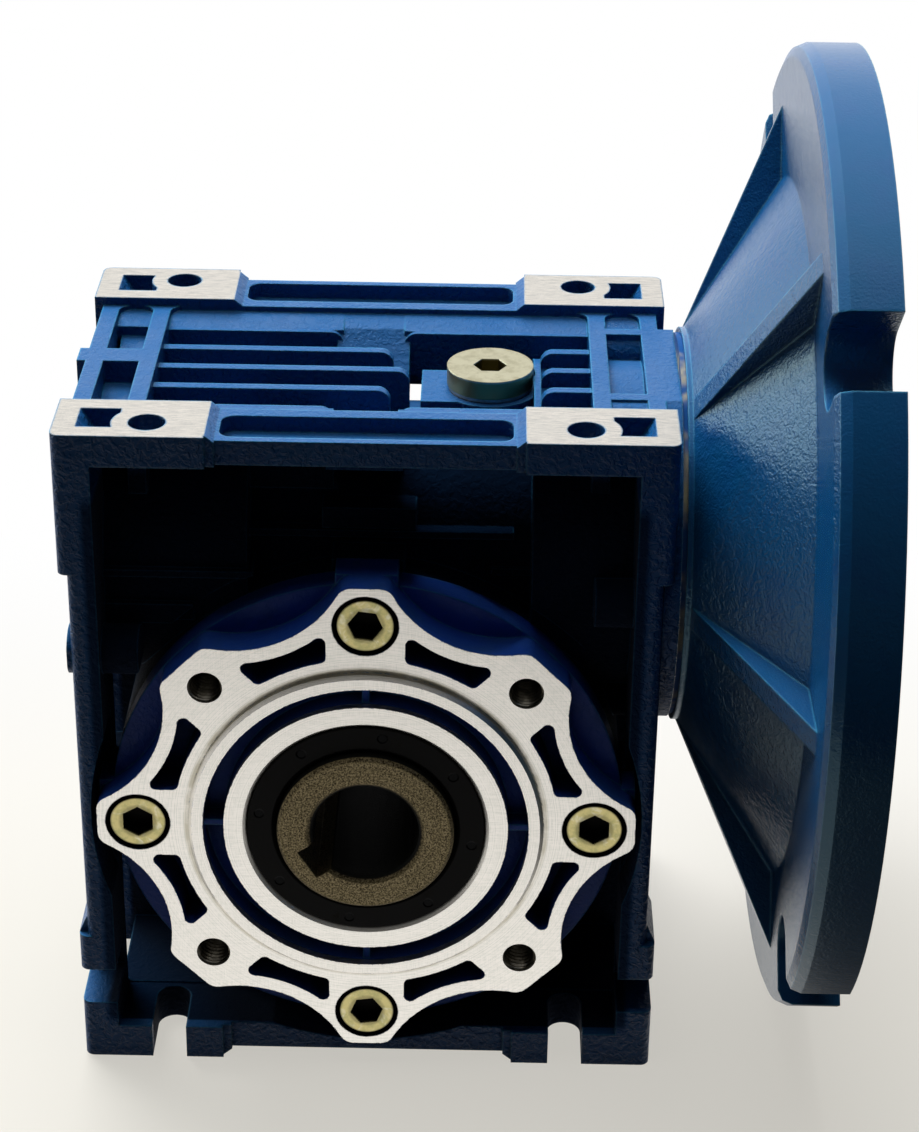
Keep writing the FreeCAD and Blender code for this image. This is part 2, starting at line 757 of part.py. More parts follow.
def casting_core():
    """Worm tube, wheel drum, plug boss, middle web, floor and the bosses for the screws."""
    half_neck = "neck_width / 2"
    neck_depth = ("-drum_front", "-neck_back")
    adds = beads() + [
        tubes(),
        cylinder("drum", "Y", "drum_radius", "-drum_front", "face_place - lobe_thickness"),
        cylinder("back_hub", "Y", "pilot_radius", "drum_front", "face_place + pilot_height"),
        lobed_plate("back_face", "face_place - lobe_thickness", "face_place"),
        cylinder("plug_boss", "Z", "plug_boss_radius", "centre_distance", "plug_boss_top", ("plug_place", "0")),
        box("plug_boss_block", ("plug_boss_start", "plug_place"),
            ("-plug_boss_half_width", "plug_boss_half_width"), ("centre_distance", "plug_boss_top")),
        box("middle_web", ("-column_outer", "column_outer"), ("-web_thickness / 2", "web_thickness / 2"),
            ("-body_base + strip_drop", "web_top")),
        box("base_floor", ("-column_inner - 1", "column_inner + 1"), ("-rail_inner - 1", "rail_inner + 1"),
            ("-body_base + strip_drop + base_floor_rise",
             "-body_base + strip_drop + base_floor_rise + base_floor_thickness")),
        box("upright_necks", ("-" + half_neck, half_neck), neck_depth, ("-neck_reach", "neck_reach")),
        box("level_necks", ("-neck_reach", "neck_reach"), neck_depth, ("-" + half_neck, half_neck)),
    ]
    ring = cylinder("input_ring_disc", "X", "input_ring_radius",
                    "input_face - input_ring_thickness", "input_face", ON_WORM)
    below_top = box("input_ring_limit", ("input_face - 10", "input_face + 10"), ("-body_end", "body_end"),
                    ("-body_base", "bar_top"))
    adds.append(common("input_ring", [ring, below_top]))
    for index, angle in enumerate(around(int(number("ribs_round_flange")))):
        across = ("flange_screw_place * cos(%s)" % angle,
                  "centre_distance + flange_screw_place * sin(%s)" % angle)
        adds.append(cylinder("screw_boss_%d" % index, "X", "flange_boss_radius",
                             "flange_boss_start", "input_face - 1", across))
    for side in (1, -1):
        across = ("%d * side_boss_place" % side, "side_boss_place")
        adds.append(cylinder("side_boss_%d" % (side + 1), "X", "side_boss_radius",
                             "-side_boss_tip", "-side_boss_start", across))
        adds.append(ramp("ramp_%d" % (side + 1), side))
    return adds


def ramp(name, side):
    """The ledge's slope running down between the long ribs and the recess round the plug."""
    outline = mirrored(side, [("rail_inner + 1", "ledge_top + ledge_rise"),
                              ("ledge_inner + rib_thickness", "ledge_top"), ("rib_pitch", "ramp_foot"),
                              ("rib_pitch", "rib_foot"), ("rail_inner + 1", "rib_foot + 6")])
    return along_x(name, outline, "ledge_gap_start - 1", "ledge_gap_end + 1")


def rail_cuts():
    """Holes, cored pockets and open slots in the pads, strips and feet."""
    cuts = []
    hole = "hole_diameter / 2"
    half_length = "hole_spacing_length / 2"
    half_width = "hole_spacing_width / 2"
    for side in (1, -1):
        tag = "rear" if side > 0 else "front"
        trough = box(tag + "_strip_trough", ("-strip_pocket_end", "strip_pocket_end"),
                     span(side, "strip_pocket_near", "strip_pocket_far"),
                     ("body_top - strip_drop - strip_pocket_depth", "body_top + 1"))
        cuts.append(rounded(tag + "_strip_pocket", trough, "strip_pocket_round", upright))
        cuts.append(box(tag + "_base_pocket", ("-strip_pocket_end", "strip_pocket_end"),
                        span(side, "strip_pocket_near", "strip_pocket_far"),
                        ("-body_base - 1", "-body_base + strip_drop + base_pocket_depth")))
        for end in (1, -1):
            name = "%s_%s" % (tag, "input" if end > 0 else "plain")
            spot = ("%d * %s" % (end, half_length), "%d * %s" % (side, half_width))
            cuts.append(cylinder(name + "_pad_hole", "Z", hole, "body_top - pad_thickness - 1",
                                 "body_top + 1", spot))
            outline = [("pad_pocket_near_end", "body_top + 1"), ("pad_pocket_far_end", "body_top + 1"),
                       ("pad_pocket_far_end", "body_top"),
                       ("pad_pocket_far_end - pad_pocket_slope", "body_top - pad_pocket_depth"),
                       ("pad_pocket_near_end", "body_top - pad_pocket_depth")]
            pocket = along_y(name + "_pocket_block", end, outline,
                             *span(side, "pad_pocket_near_side", "pad_pocket_far_side"))
            wall = cylinder(name + "_pocket_wall", "Z", hole + " + pad_hole_wall",
                            "body_top - pad_pocket_depth - 1", "body_top + 2", spot)
            cuts.append(cut(name + "_pocket", pocket, [wall]))
            slot_side = span(side, "slot_end_side + %s" % hole, "body_side + 1")
            cuts.append(box(name + "_foot_slot", ("%d * %s - %s" % (end, half_length, hole),
                                                  "%d * %s + %s" % (end, half_length, hole)),
                            slot_side, ("-body_base - 1", "-body_base + foot_thickness + 1")))
            round_spot = ("%d * %s" % (end, half_length), "%d * (slot_end_side + %s)" % (side, hole))
            cuts.append(cylinder(name + "_foot_slot_end", "Z", hole, "-body_base - 1",
                                 "-body_base + foot_thickness + 1", round_spot))
            cuts.append(box(name + "_side_slot", span(end, "column_inner - 1", "body_end + 1"),
                            span(side, "slot_end_side", "body_side + 1"),
                            ("-side_slot_centre - side_slot_height / 2",
                             "-side_slot_centre + side_slot_height / 2")))
    return cuts


def corner_cuts():
    """Tools that round the upright outer corners of the columns, lugs and pads."""
    cuts = []
    levels = (("base", "body_end", "-body_base - 1", "-lug_top - lug_slope"),
              ("column", "column_outer", "-lug_top - lug_slope", "corner_block_bottom"),
              ("top", "body_end", "corner_block_bottom", "body_top + 1"))
    for side in (1, -1):
        for end in (1, -1):
            for level, reach, low, high in levels:
                name = "%s_corner_%d_%d" % (level, end + 1, side + 1)
                block = box(name + "_block", span(end, reach + " - corner_round", reach + " + 2"),
                            span(side, "body_side - corner_round", "body_side + 1"), (low, high))
                spot = ("%d * (%s - corner_round)" % (end, reach), "%d * (body_side - corner_round)" % side)
                post = cylinder(name + "_post", "Z", "corner_round", "%s - 1" % low, "%s + 1" % high, spot)
                cuts.append(cut(name, block, [post]))
    return cuts


def bore_cuts():
    """Wheel chamber, worm bore, bearing seats, seal seats, ring grooves and tapped holes."""
    cuts = [
        cylinder("cover_sweep", "Y", "drum_radius + cover_sweep_gap", "-body_side - 1", "-drum_front"),
        cylinder("chamber", "Y", "spigot_radius + spigot_clearance", "-body_side", "output_bearing_near - 0.3"),
        cylinder("back_bearing_seat", "Y", "output_bearing_outer", "0", FAR_SEAT),
        cylinder("back_seal_seat", "Y", "output_seal_radius", "0", "body_end"),
        cylinder("worm_bore", "X", "worm_bore_radius", "-body_end", "input_bore_start", ON_WORM),
        cylinder("input_relief", "X", "input_relief_radius", "input_bore_start - 1", "body_end", ON_WORM),
        cylinder("end_bearing_seat", "X", "end_bearing_outer", "-body_end - 1", "-end_bearing_near", ON_WORM),
        cylinder("input_bearing_seat", "X", "input_bearing_outer", "input_bearing_near",
                 "input_face + 1", ON_WORM),
        cylinder("end_ring_groove", "X", "end_bearing_outer + snap_ring_bite",
                 "-(%s + snap_ring_thickness + 2 * snap_ring_play)" % END_FAR, "-(%s)" % END_FAR, ON_WORM),
        cylinder("input_ring_groove", "X", "input_bearing_outer + snap_ring_bite", INPUT_FAR,
                 "%s + snap_ring_thickness + 2 * snap_ring_play" % INPUT_FAR, ON_WORM),
        cylinder("plug_hole", "Z", "plug_thread_radius", "centre_distance", "body_top", ("plug_place", "0")),
        cylinder("washer_seat", "Z", "washer_radius + washer_seat_room", "plug_boss_top", "body_top",
                 ("plug_place", "0")),
        windows("back_windows", "face_place - window_depth", "face_place + 1"),
    ]
    groove = cylinder("back_groove_disc", "Y", "pilot_inner_radius",
                      "face_place + pilot_height - ring_groove_depth", "face_place + pilot_height + 1")
    collar = cylinder("back_collar_core", "Y", "seal_collar_radius", "0", "face_place + seal_collar_height")
    cuts.append(cut("back_groove", groove, [collar]))
    cuts += face_holes("back_tapped_hole", "back_tapped_radius", "tapped_circle", 45,
                       "face_place - tapped_depth", "face_place + 1")
    screw_far = "-face_place + counterbore_depth + cover_screw_length"
    cuts += face_holes("cover_screw_hole", "cover_screw_radius", "cover_screw_circle", 0,
                       "-body_side", screw_far)
    for index, angle in enumerate(around(int(number("ribs_round_flange")))):
        across = ("flange_screw_place * cos(%s)" % angle,
                  "centre_distance + flange_screw_place * sin(%s)" % angle)
        cuts.append(cylinder("flange_screw_hole_%d" % index, "X", "flange_screw_radius",
                             FLANGE_BACK + " + flange_wall - flange_screw_length", "input_face + 1", across))
    for side in (1, -1):
        across = ("%d * side_boss_place" % side, "side_boss_place")
        cuts.append(cylinder("side_boss_hole_%d" % (side + 1), "X", "side_boss_hole",
                             "-side_boss_tip - 1", "-side_boss_tip + side_boss_hole_depth", across))
    return cuts


def casting():
    body = fuse("casting_mass", rails() + bars() + ribs() + casting_core())
    rest = cut("casting_rest", body, rail_cuts() + corner_cuts() + bore_cuts())
    return sub_part(rest, "housing")


# Output cover and what it carries
def output_cover():
    face = "-face_place"
    disc_front = "-face_place + lobe_thickness"
    groove = "-o_ring_groove_near - o_ring_groove_width"
    core = turned("cover_core", "Y", [
        ("-face_place - seal_collar_height", "output_seal_radius + 0.8"),
        ("-face_place - seal_collar_height", "seal_collar_radius"),
        ("-face_place - pilot_height + ring_groove_depth", "seal_collar_radius"),
        ("-face_place - pilot_height + ring_groove_depth", "pilot_inner_radius"),
        ("-face_place - pilot_height", "pilot_inner_radius"),
        ("-face_place - pilot_height", "pilot_radius - 0.6"),
        ("-face_place - pilot_height + 0.6", "pilot_radius"),
        (disc_front, "pilot_radius"),
        (disc_front, "drum_radius"),
        ("-drum_front", "drum_radius"),
        ("-drum_front", "spigot_radius"),
        (groove, "spigot_radius"),
        (groove, "spigot_radius - o_ring_groove_depth"),
        ("-o_ring_groove_near", "spigot_radius - o_ring_groove_depth"),
        ("-o_ring_groove_near", "spigot_radius"),
        ("-output_bearing_near + 0.3", "spigot_radius"),
        ("-output_bearing_near + 0.3", "output_bearing_outer"),
        ("-(%s)" % FAR_SEAT, "output_bearing_outer"),
        ("-(%s)" % FAR_SEAT, "output_seal_radius"),
        ("-face_place - seal_collar_height + 0.8", "output_seal_radius"),
    ])
    plate = lobed_plate("cover_face", face, disc_front)
    middle = cylinder("cover_face_middle", "Y", "pilot_radius - 1", "-body_end", "0")
    half = "lobe_boss_width / 2"
    depth = (disc_front + " - 1", "-drum_front")
    upright_bosses = box("cover_upright_bosses", ("-" + half, half), depth, ("-long_lobe_reach", "long_lobe_reach"))
    level_bosses = box("cover_level_bosses", ("-long_lobe_reach", "long_lobe_reach"), depth, ("-" + half, half))
    ring = fuse("cover_face_mass", [plate, upright_bosses, level_bosses])
    adds = [core, cut("cover_face_ring", ring, [middle])]
    for turn in (0, 90):
        adds.append(groove_rib("cover_rib_%d" % turn, turn))
    mass = fuse("cover_mass", adds)
    cuts = [windows("cover_windows", "-face_place - 1", "-face_place + window_depth")]
    cuts += face_holes("cover_tapped_hole", "tapped_radius", "tapped_circle", 45, "-body_end", "-drum_front + 1")
    cuts += face_holes("cover_bolt_hole", "cover_screw_radius", "cover_screw_circle", 0,
                       "-body_end", "-drum_front + 1")
    cuts += face_holes("cover_counterbore", "counterbore_radius", "cover_screw_circle", 0,
                       "-body_end", "-face_place + counterbore_depth")
    return sub_part(cut("cover_rest", mass, cuts), "output_cover")


def groove_rib(name, turn):
    """Two thin ribs across the ring groove, opposite each other."""
    reach = "pilot_inner_radius + 1"
    half = "ring_groove_rib / 2"
    low = "-face_place - pilot_height + ring_groove_depth - 3.5"
    high = "-face_place - pilot_height + ring_groove_depth + 0.5"
    if turn:
        bar = box(name + "_bar", ("-" + half, half), (low, high), ("-(%s)" % reach, reach))
    else:
        bar = box(name + "_bar", ("-(%s)" % reach, reach), (low, high), ("-" + half, half))
    middle = cylinder(name + "_middle", "Y", "seal_collar_radius - 1", "-body_end", "0")
    return cut(name, bar, [middle])


def cover_screws():
    screws = []
    for index, (angle, socket_turn) in enumerate(zip(around(4), SOCKET_TURNS)):
        across = ("cover_screw_circle / 2 * cos(%s)" % angle, "cover_screw_circle / 2 * sin(%s)" % angle)
        seat = "-face_place + counterbore_depth"
        name = "cover_screw_%d" % index
        head = cylinder(name + "_head", "Y", "screw_head_radius", seat + " - screw_head_height", seat, across)
        shank = cylinder(name + "_shank", "Y", "cover_screw_radius", seat + " - 1",
                         seat + " + cover_screw_length", across)
        socket = hexagon(name + "_socket", "Y", "screw_socket_width", "-body_end",
                         seat + " - screw_head_height + screw_socket_depth", across, socket_turn)
        screws.append(cut(name, fuse(name + "_mass", [head, shank]), [socket]))
    return sub_part(group("cover_screw_set", screws), "output_cover_screws")


def o_ring():
    place_along = "-o_ring_groove_near - o_ring_groove_width / 2"
    ring = torus("cover_o_ring", "Y", "spigot_radius - o_ring_section", "o_ring_section",
                 ("0", place_along, "0"))
    return sub_part(ring, "output_cover_o_ring")


def lip_seal(name, axis, shaft, outer, near, width, way, height="0"):
    """A radial shaft seal with one sealing lip and one dust lip, open towards the oil."""
    bore = "%s + lip_clearance" % shaft
    neck = "%s + seal_lip_reach" % shaft
    corners = [
        ("0", outer), (width, outer), (width, neck), ("%s - 0.7" % width, bore),
        ("%s - 1.6" % width, neck), ("%s - 2.8" % width, neck), ("%s - 4" % width, bore),
        ("%s - 5.3" % width, neck), ("%s - 5.3" % width, neck + " + seal_wall"),
        ("%s - 1.8" % width, neck + " + seal_wall"), ("%s - 1.8" % width, "%s - seal_wall" % outer),
        ("0", "%s - seal_wall" % outer),
    ]
    sign = "" if way > 0 else "-"
    placed = [("%s(%s + %s)" % (sign, near, along), radius) for along, radius in corners]
    return sub_part(turned(name + "_body", axis, placed, height), name)


# Rolling bearings
def bearing(name, axis, inner, outer, near, width, ball, count, way, across=("0", "0")):
    """A deep groove ball bearing as its two rings, its balls and its cage."""
    far = "%s + %s" % (near, width)
    low, high = (near, far) if way > 0 else opposite(near, far)
    pitch = "(%s + %s) / 2" % (inner, outer)
    middle = "(%s + %s) / 2" % (low, high)
    centre = list(across)
    centre.insert("XYZ".index(axis), middle)
    race = "%s + ball_clearance" % ball
    land = "race_land * %s" % ball

    def ring(tag, bore, rim):
        solid = cylinder("%s_%s_disc" % (name, tag), axis, rim, low, high, across)
        hole = cylinder("%s_%s_hole" % (name, tag), axis, bore, "%s - 1" % low, "%s + 1" % high, across)
        groove = torus("%s_%s_groove" % (name, tag), axis, pitch, race, centre)
        sub_part(cut("%s_%s" % (name, tag), solid, [hole, groove]), "%s_%s" % (name, tag))

    ring("outer_ring", "%s + %s" % (pitch, land), outer)
    ring("inner_ring", inner, "%s - %s" % (pitch, land))

    def ball_set(tag, radius):
        balls = []
        for index, angle in enumerate(around(int(number(count)))):
            sphere = doc.addObject("Part::Sphere", "%s_%s_%d" % (name, tag, index))
            sphere.Placement = FreeCAD.Placement(ORIGIN, TURN_TO[axis])
            bind(sphere, "Radius", radius)
            at = ["%s + %s * cos(%s)" % (across[0], pitch, angle),
                  "%s + %s * sin(%s)" % (across[1], pitch, angle)]
            at.insert("XYZ".index(axis), middle)
            place(sphere, at)
            balls.append(sphere)
        return balls

    sub_part(group(name + "_ball_set", ball_set("ball", ball)), name + "_balls")
    half = "(%s + cage_rim)" % ball
    rim = cylinder(name + "_cage_disc", axis, "%s + cage_thickness / 2" % pitch,
                   "%s - %s" % (middle, half), "%s + %s" % (middle, half), across)
    hole = cylinder(name + "_cage_hole", axis, "%s - cage_thickness / 2" % pitch,
                    "%s - 1" % low, "%s + 1" % high, across)
    pockets = ball_set("pocket", "%s + cage_pocket_play" % ball)
    sub_part(cut(name + "_cage_ring", rim, [hole] + pockets), name + "_cage")


# Hollow output shaft and worm wheel
def output_shaft():
    shaft = turned("shaft_core", "Y", [
        ("-output_shaft_end", "output_bore_radius + output_mouth_chamfer"),
        ("-output_shaft_end", "output_shaft_radius - shaft_edge_chamfer"),
        ("-output_shaft_end + shaft_edge_chamfer", "output_shaft_radius"),
        ("-output_bearing_near", "output_shaft_radius"),
        ("-output_bearing_near", "hub_shoulder"),
        ("-wheel_half_width - hub_flange_thickness", "hub_shoulder"),
        ("-wheel_half_width - hub_flange_thickness", "hub_flange_radius"),
        ("-wheel_half_width", "hub_flange_radius"),
        ("-wheel_half_width", "hub_radius"),
        ("wheel_half_width + 1", "hub_radius"),
        ("wheel_half_width + 1", "hub_shoulder"),
        ("output_bearing_near", "hub_shoulder"),
        ("output_bearing_near", "output_shaft_radius"),
        ("output_shaft_end - shaft_edge_chamfer", "output_shaft_radius"),
        ("output_shaft_end", "output_shaft_radius - shaft_edge_chamfer"),
        ("output_shaft_end", "output_bore_radius + output_mouth_chamfer"),
        ("output_shaft_end - output_mouth_chamfer", "output_bore_radius"),
        ("-output_shaft_end + output_mouth_chamfer", "output_bore_radius"),
    ])
    key = doc.addObject("Part::Box", "output_keyway")
    bind(key, "Length", "output_key_width")
    bind(key, "Width", "2 * output_shaft_end + 2")
    bind(key, "Height", "output_bore_radius + output_key_rise")
    key.Placement = FreeCAD.Placement(ORIGIN, FreeCAD.Rotation(Y_AXIS, number("output_key_turn")))
    place(key, ("-output_key_width / 2 * cos(output_key_turn)", "-output_shaft_end - 1",
                "output_key_width / 2 * sin(output_key_turn)"))
    return sub_part(cut("shaft_rest", shaft, [key]), "output_shaft")


def wheel_section(along):
    """The outline of all wheel teeth at one place along the axis, turned to follow the worm's lead."""
    module = number("gear_module")
    teeth = int(number("wheel_teeth"))
    pitch_radius = module * teeth / 2
    pressure = math.radians(number("pressure_angle"))
    base_radius = pitch_radius * math.cos(pressure)
    outer = number("wheel_outer_radius") + 0.5
    root = pitch_radius - module - number("root_clearance")
    lead_angle = math.atan(1 / number("worm_diameter_factor"))
    twist = along * math.tan(lead_angle) / pitch_radius

    def involute(angle):
        return math.tan(angle) - angle

    half_tooth = math.pi / 2 / teeth + involute(pressure)

    def flank_point(radius, side, middle):
        angle = half_tooth - involute(math.acos(min(1, base_radius / radius)))
        turn = middle + side * angle
        return FreeCAD.Vector(radius * math.sin(turn), along, radius * math.cos(turn))

    def at(radius, turn):
        return FreeCAD.Vector(radius * math.sin(turn), along, radius * math.cos(turn))

    edges = []
    step = 2 * math.pi / teeth
    start_radius = max(base_radius, root) + 0.02
    middle_radius = (start_radius + outer) / 2
    for index in range(teeth):
        centre = twist + (index + 0.5) * step
        low = [flank_point(radius, -1, centre) for radius in (start_radius, middle_radius, outer)]
        high = [flank_point(radius, 1, centre) for radius in (outer, middle_radius, start_radius)]
        foot = math.atan2(low[0].x, low[0].z)
        far_foot = math.atan2(high[2].x, high[2].z)
        next_low = flank_point(start_radius, -1, centre + step)
        next_foot = math.atan2(next_low.x, next_low.z)
        edges.append(Part.LineSegment(at(root, foot), low[0]).toShape())
        edges.append(Part.Arc(*low).toShape())
        edges.append(Part.Arc(low[2], at(outer, centre), high[0]).toShape())
        edges.append(Part.Arc(*high).toShape())
        edges.append(Part.LineSegment(high[2], at(root, far_foot)).toShape())
        edges.append(Part.Arc(at(root, far_foot), at(root, centre + step / 2), at(root, next_foot)).toShape())
    return Part.Wire(edges)


def worm_wheel():
    half = number("wheel_half_width")
    sections = [wheel_section(along) for along in (-half, 0, half)]
    teeth = doc.addObject("Part::Feature", "wheel_toothing")
    teeth.Shape = Part.makeLoft(sections, True, True)
    blank = cylinder("wheel_blank", "Y", "wheel_outer_radius", "-wheel_half_width", "wheel_half_width")
    bore = cylinder("wheel_bore", "Y", "hub_radius", "-wheel_half_width - 1", "wheel_half_width + 1")
    root = "gear_module * worm_diameter_factor / 2 - gear_module - root_clearance"
    throat = torus("wheel_throat", "Y", "centre_distance", root + " + throat_clearance", ("0", "0", "0"))
    ring = cut("wheel_ring", blank, [bore, throat])
    return sub_part(common("wheel_rest", [ring, teeth]), "worm_wheel")


# Worm shaft
def worm_thread():
    """One right-handed thread, its crest in the wheel's tooth space straight below the shaft."""
    pitch = "pi * gear_module"
    start = "%s * 0.25 - %d * %s" % (pitch, THREAD_TURNS / 2, pitch)
    pitch_radius = "gear_module * worm_diameter_factor / 2"
    path = doc.addObject("Part::Helix", "thread_path")
    path.Placement = FreeCAD.Placement(ORIGIN, FreeCAD.Rotation(FreeCAD.Vector(1, 1, 1), 120))
    bind(path, "Pitch", pitch)
    bind(path, "Height", "%d * %s" % (THREAD_TURNS, pitch))
    path.SegmentLength = 1
    bind(path, "Radius", pitch_radius)
    place(path, (start, "0", "centre_distance"))
    low = "%s - gear_module - root_clearance - 0.2" % pitch_radius
    tip = "%s + gear_module - worm_tip_trim" % pitch_radius
    half_low = "(%s / 4 - tooth_backlash / 2 + (gear_module + root_clearance + 0.2) * tan(pressure_angle))" % pitch
    half_tip = "(%s / 4 - tooth_backlash / 2 - (gear_module - worm_tip_trim) * tan(pressure_angle))" % pitch
    sketch = doc.addObject("Sketcher::SketchObject", "thread_profile")
    draw(sketch, [("%s - %s" % (start, half_low), low), ("%s + %s" % (start, half_low), low),
                  ("%s + %s" % (start, half_tip), tip), ("%s - %s" % (start, half_tip), tip)])
    bind(sketch, "Placement.Base.z", "centre_distance")
    sweep = doc.addObject("Part::Sweep", "thread_sweep")
    sweep.Sections = [sketch]
    sweep.Spine = (path, ["Edge%d" % (turn + 1) for turn in range(THREAD_TURNS)])
    sweep.Solid = True
    sweep.Frenet = True
    limit = cylinder("thread_limit", "X", "body_end", "-worm_half_length", "worm_half_length", ON_WORM)
    return common("thread", [sweep, limit])


def worm_shaft():
    root = "gear_module * worm_diameter_factor / 2 - gear_module - root_clearance"
    core = turned("worm_core", "X", [
        ("-worm_tail", "0"),
        ("-worm_tail", "end_bearing_inner - shaft_edge_chamfer"),
        ("-worm_tail + shaft_edge_chamfer", "end_bearing_inner"),
        ("-end_bearing_near", "end_bearing_inner"),
        ("-end_bearing_near", "end_shoulder_radius"),
        ("-end_bearing_near + end_shoulder_length", "end_shoulder_radius"),
        ("-end_bearing_near + end_shoulder_length", root),
        ("worm_half_length", root),
        ("worm_half_length", "input_neck_radius"),
        ("input_bearing_near - input_shoulder_length", "input_neck_radius"),
        ("input_bearing_near - input_shoulder_length", "input_shoulder_radius"),
        ("input_bearing_near", "input_shoulder_radius"),
        ("input_bearing_near", "input_bearing_inner"),
        ("input_shaft_end - shaft_edge_chamfer", "input_bearing_inner"),
        ("input_shaft_end", "input_bearing_inner - shaft_edge_chamfer"),
        ("input_shaft_end", "0"),
    ], "centre_distance")
    mass = fuse("worm_mass", [core, worm_thread()])
    mass.Refine = False
    bore = cylinder("worm_shaft_bore", "X", "input_bore_radius", "input_shaft_end - input_bore_depth",
                    "input_shaft_end + 1", ON_WORM)
    key = box("worm_keyway", ("input_shaft_end - input_bore_depth", "input_shaft_end + 1"),
              ("-input_key_width / 2", "input_key_width / 2"),
              ("centre_distance", "centre_distance + input_bore_radius + input_key_rise"))
    rest = cut("worm_rest", mass, [bore, key])
    rest.Refine = False
    return sub_part(rest, "worm_shaft")


def snap_ring(name, near, seat, way):
    """An internal snap ring with its opening at the bottom."""
    low, high = "%s + snap_ring_play" % near, "%s + snap_ring_play + snap_ring_thickness" % near
    if way < 0:
        low, high = opposite(low, high)
    outer = cylinder(name + "_disc", "X", "%s + snap_ring_bite - snap_ring_play" % seat, low, high, ON_WORM)
    inner = cylinder(name + "_hole", "X", "%s + snap_ring_bite - snap_ring_width" % seat,
                     "%s - 1" % low, "%s + 1" % high, ON_WORM)
    opening = box(name + "_opening", ("%s - 1" % low, "%s + 1" % high),
                  ("-snap_ring_opening / 2", "snap_ring_opening / 2"),
                  ("centre_distance - body_end", "centre_distance"))
    return sub_part(cut(name + "_ring", outer, [inner, opening]), name)


def end_cap():
    """The pressed cap that closes the plain end of the worm bore."""
    face = "-column_outer + end_cap_inset"
    cap = turned("end_cap_body", "X", [
        (face, "0"), (face, "end_bearing_outer - 0.6"), (face + " + 0.6", "end_bearing_outer"),
        (face + " + end_cap_depth", "end_bearing_outer"),
        (face + " + end_cap_depth", "end_bearing_outer - end_cap_wall"),
        (face + " + end_cap_wall", "end_bearing_outer - end_cap_wall"), (face + " + end_cap_wall", "0"),
    ], "centre_distance")
    return sub_part(cap, "worm_end_cap")


# Motor flange
def motor_flange():
    back = FLANGE_BACK
    neck_end = back + " + flange_neck_length"
    core = turned("flange_core", "X", [
        (back + " - gasket_thickness - flange_spigot_length", "flange_hole_radius"),
        (back + " - gasket_thickness - flange_spigot_length", "flange_spigot_radius"),
        (back, "flange_spigot_radius"),
        (back, "flange_neck_radius"),
        (neck_end, "flange_neck_radius"),
        ("rim_back", "cone_foot_radius"),
        ("rim_back", "rim_radius - rim_back_round"),
        ("rim_back + rim_back_round * 0.3", "rim_radius - rim_back_round * 0.3"),
        ("rim_back + rim_back_round", "rim_radius"),
        ("flange_face", "rim_radius"),
        ("flange_face", "motor_pilot_radius"),
        ("flange_face - motor_pilot_depth", "motor_pilot_radius"),
        ("flange_face - motor_pilot_depth", "cavity_radius"),
        ("rim_back + 1", "cavity_radius"),
        (back + " + flange_wall", "flange_neck_radius"),
        (back + " + flange_wall", "flange_hole_radius"),
    ], "centre_distance")
    adds = [core]
    for index, angle in enumerate(around(int(number("ribs_round_flange")))):
        adds.append(flange_rib("flange_rib_%d" % index, angle))
    cuts = []
    for index, angle in enumerate(around(4, 45)):
        cuts += motor_slot("motor_slot_%d" % index, angle)
    for index, angle in enumerate(around(int(number("ribs_round_flange")))):
        across = ("flange_screw_place * cos(%s)" % angle,
                  "centre_distance + flange_screw_place * sin(%s)" % angle)
        cuts.append(cylinder("flange_bolt_hole_%d" % index, "X", "flange_screw_radius", back + " - 2",
                             back + " + flange_wall + 1", across))
    return sub_part(cut("flange_rest", fuse("flange_mass", adds), cuts), "input_flange")


def flange_rib(name, angle):
    """A triangular rib from the neck to the back of the rim."""
    back = FLANGE_BACK + " + flange_neck_length"
    sketch = doc.addObject("Sketcher::SketchObject", name + "_outline")
    draw(sketch, [(back, "flange_neck_radius - 2"), (back, "flange_neck_radius"),
                  ("rim_back", "flange_rib_reach"), ("rim_back + 2", "flange_rib_reach"),
                  ("rim_back + 2", "cone_foot_radius - 4")])
    turn = FreeCAD.Rotation(X_AXIS, angle)
    sketch.Placement = FreeCAD.Placement(ORIGIN, turn)
    half = "flange_rib_thickness / 2"
    bind(sketch, "Placement.Base.y", "%s * sin(%s)" % (half, angle))
    bind(sketch, "Placement.Base.z", "centre_distance - %s * cos(%s)" % (half, angle))
    rib = doc.addObject("Part::Extrusion", name)
    rib.Base = sketch
    rib.DirMode = "Normal"
    rib.Solid = True
    bind(rib, "LengthFwd", "flange_rib_thickness")
    return rib


def motor_slot(name, angle):
    """A slot open to the rim, with its round end on the motor's bolt circle."""
    half = "motor_slot_width / 2"
    circle = "motor_bolt_circle / 2"
    across = ("%s * cos(%s)" % (circle, angle), "centre_distance + %s * sin(%s)" % (circle, angle))
    end = cylinder(name + "_end", "X", half, "rim_back - 5", "flange_face + 1", across)
    way = doc.addObject("Part::Box", name + "_way")
    bind(way, "Length", "flange_face - rim_back + 6")
    bind(way, "Width", "rim_radius")
    bind(way, "Height", "motor_slot_width")
    way.Placement = FreeCAD.Placement(ORIGIN, FreeCAD.Rotation(X_AXIS, angle))
    place(way, ("rim_back - 5", "%s * cos(%s) + %s * sin(%s)" % (circle, angle, half, angle),
                "centre_distance + %s * sin(%s) - %s * cos(%s)" % (circle, angle, half, angle)))
    return [end, way]


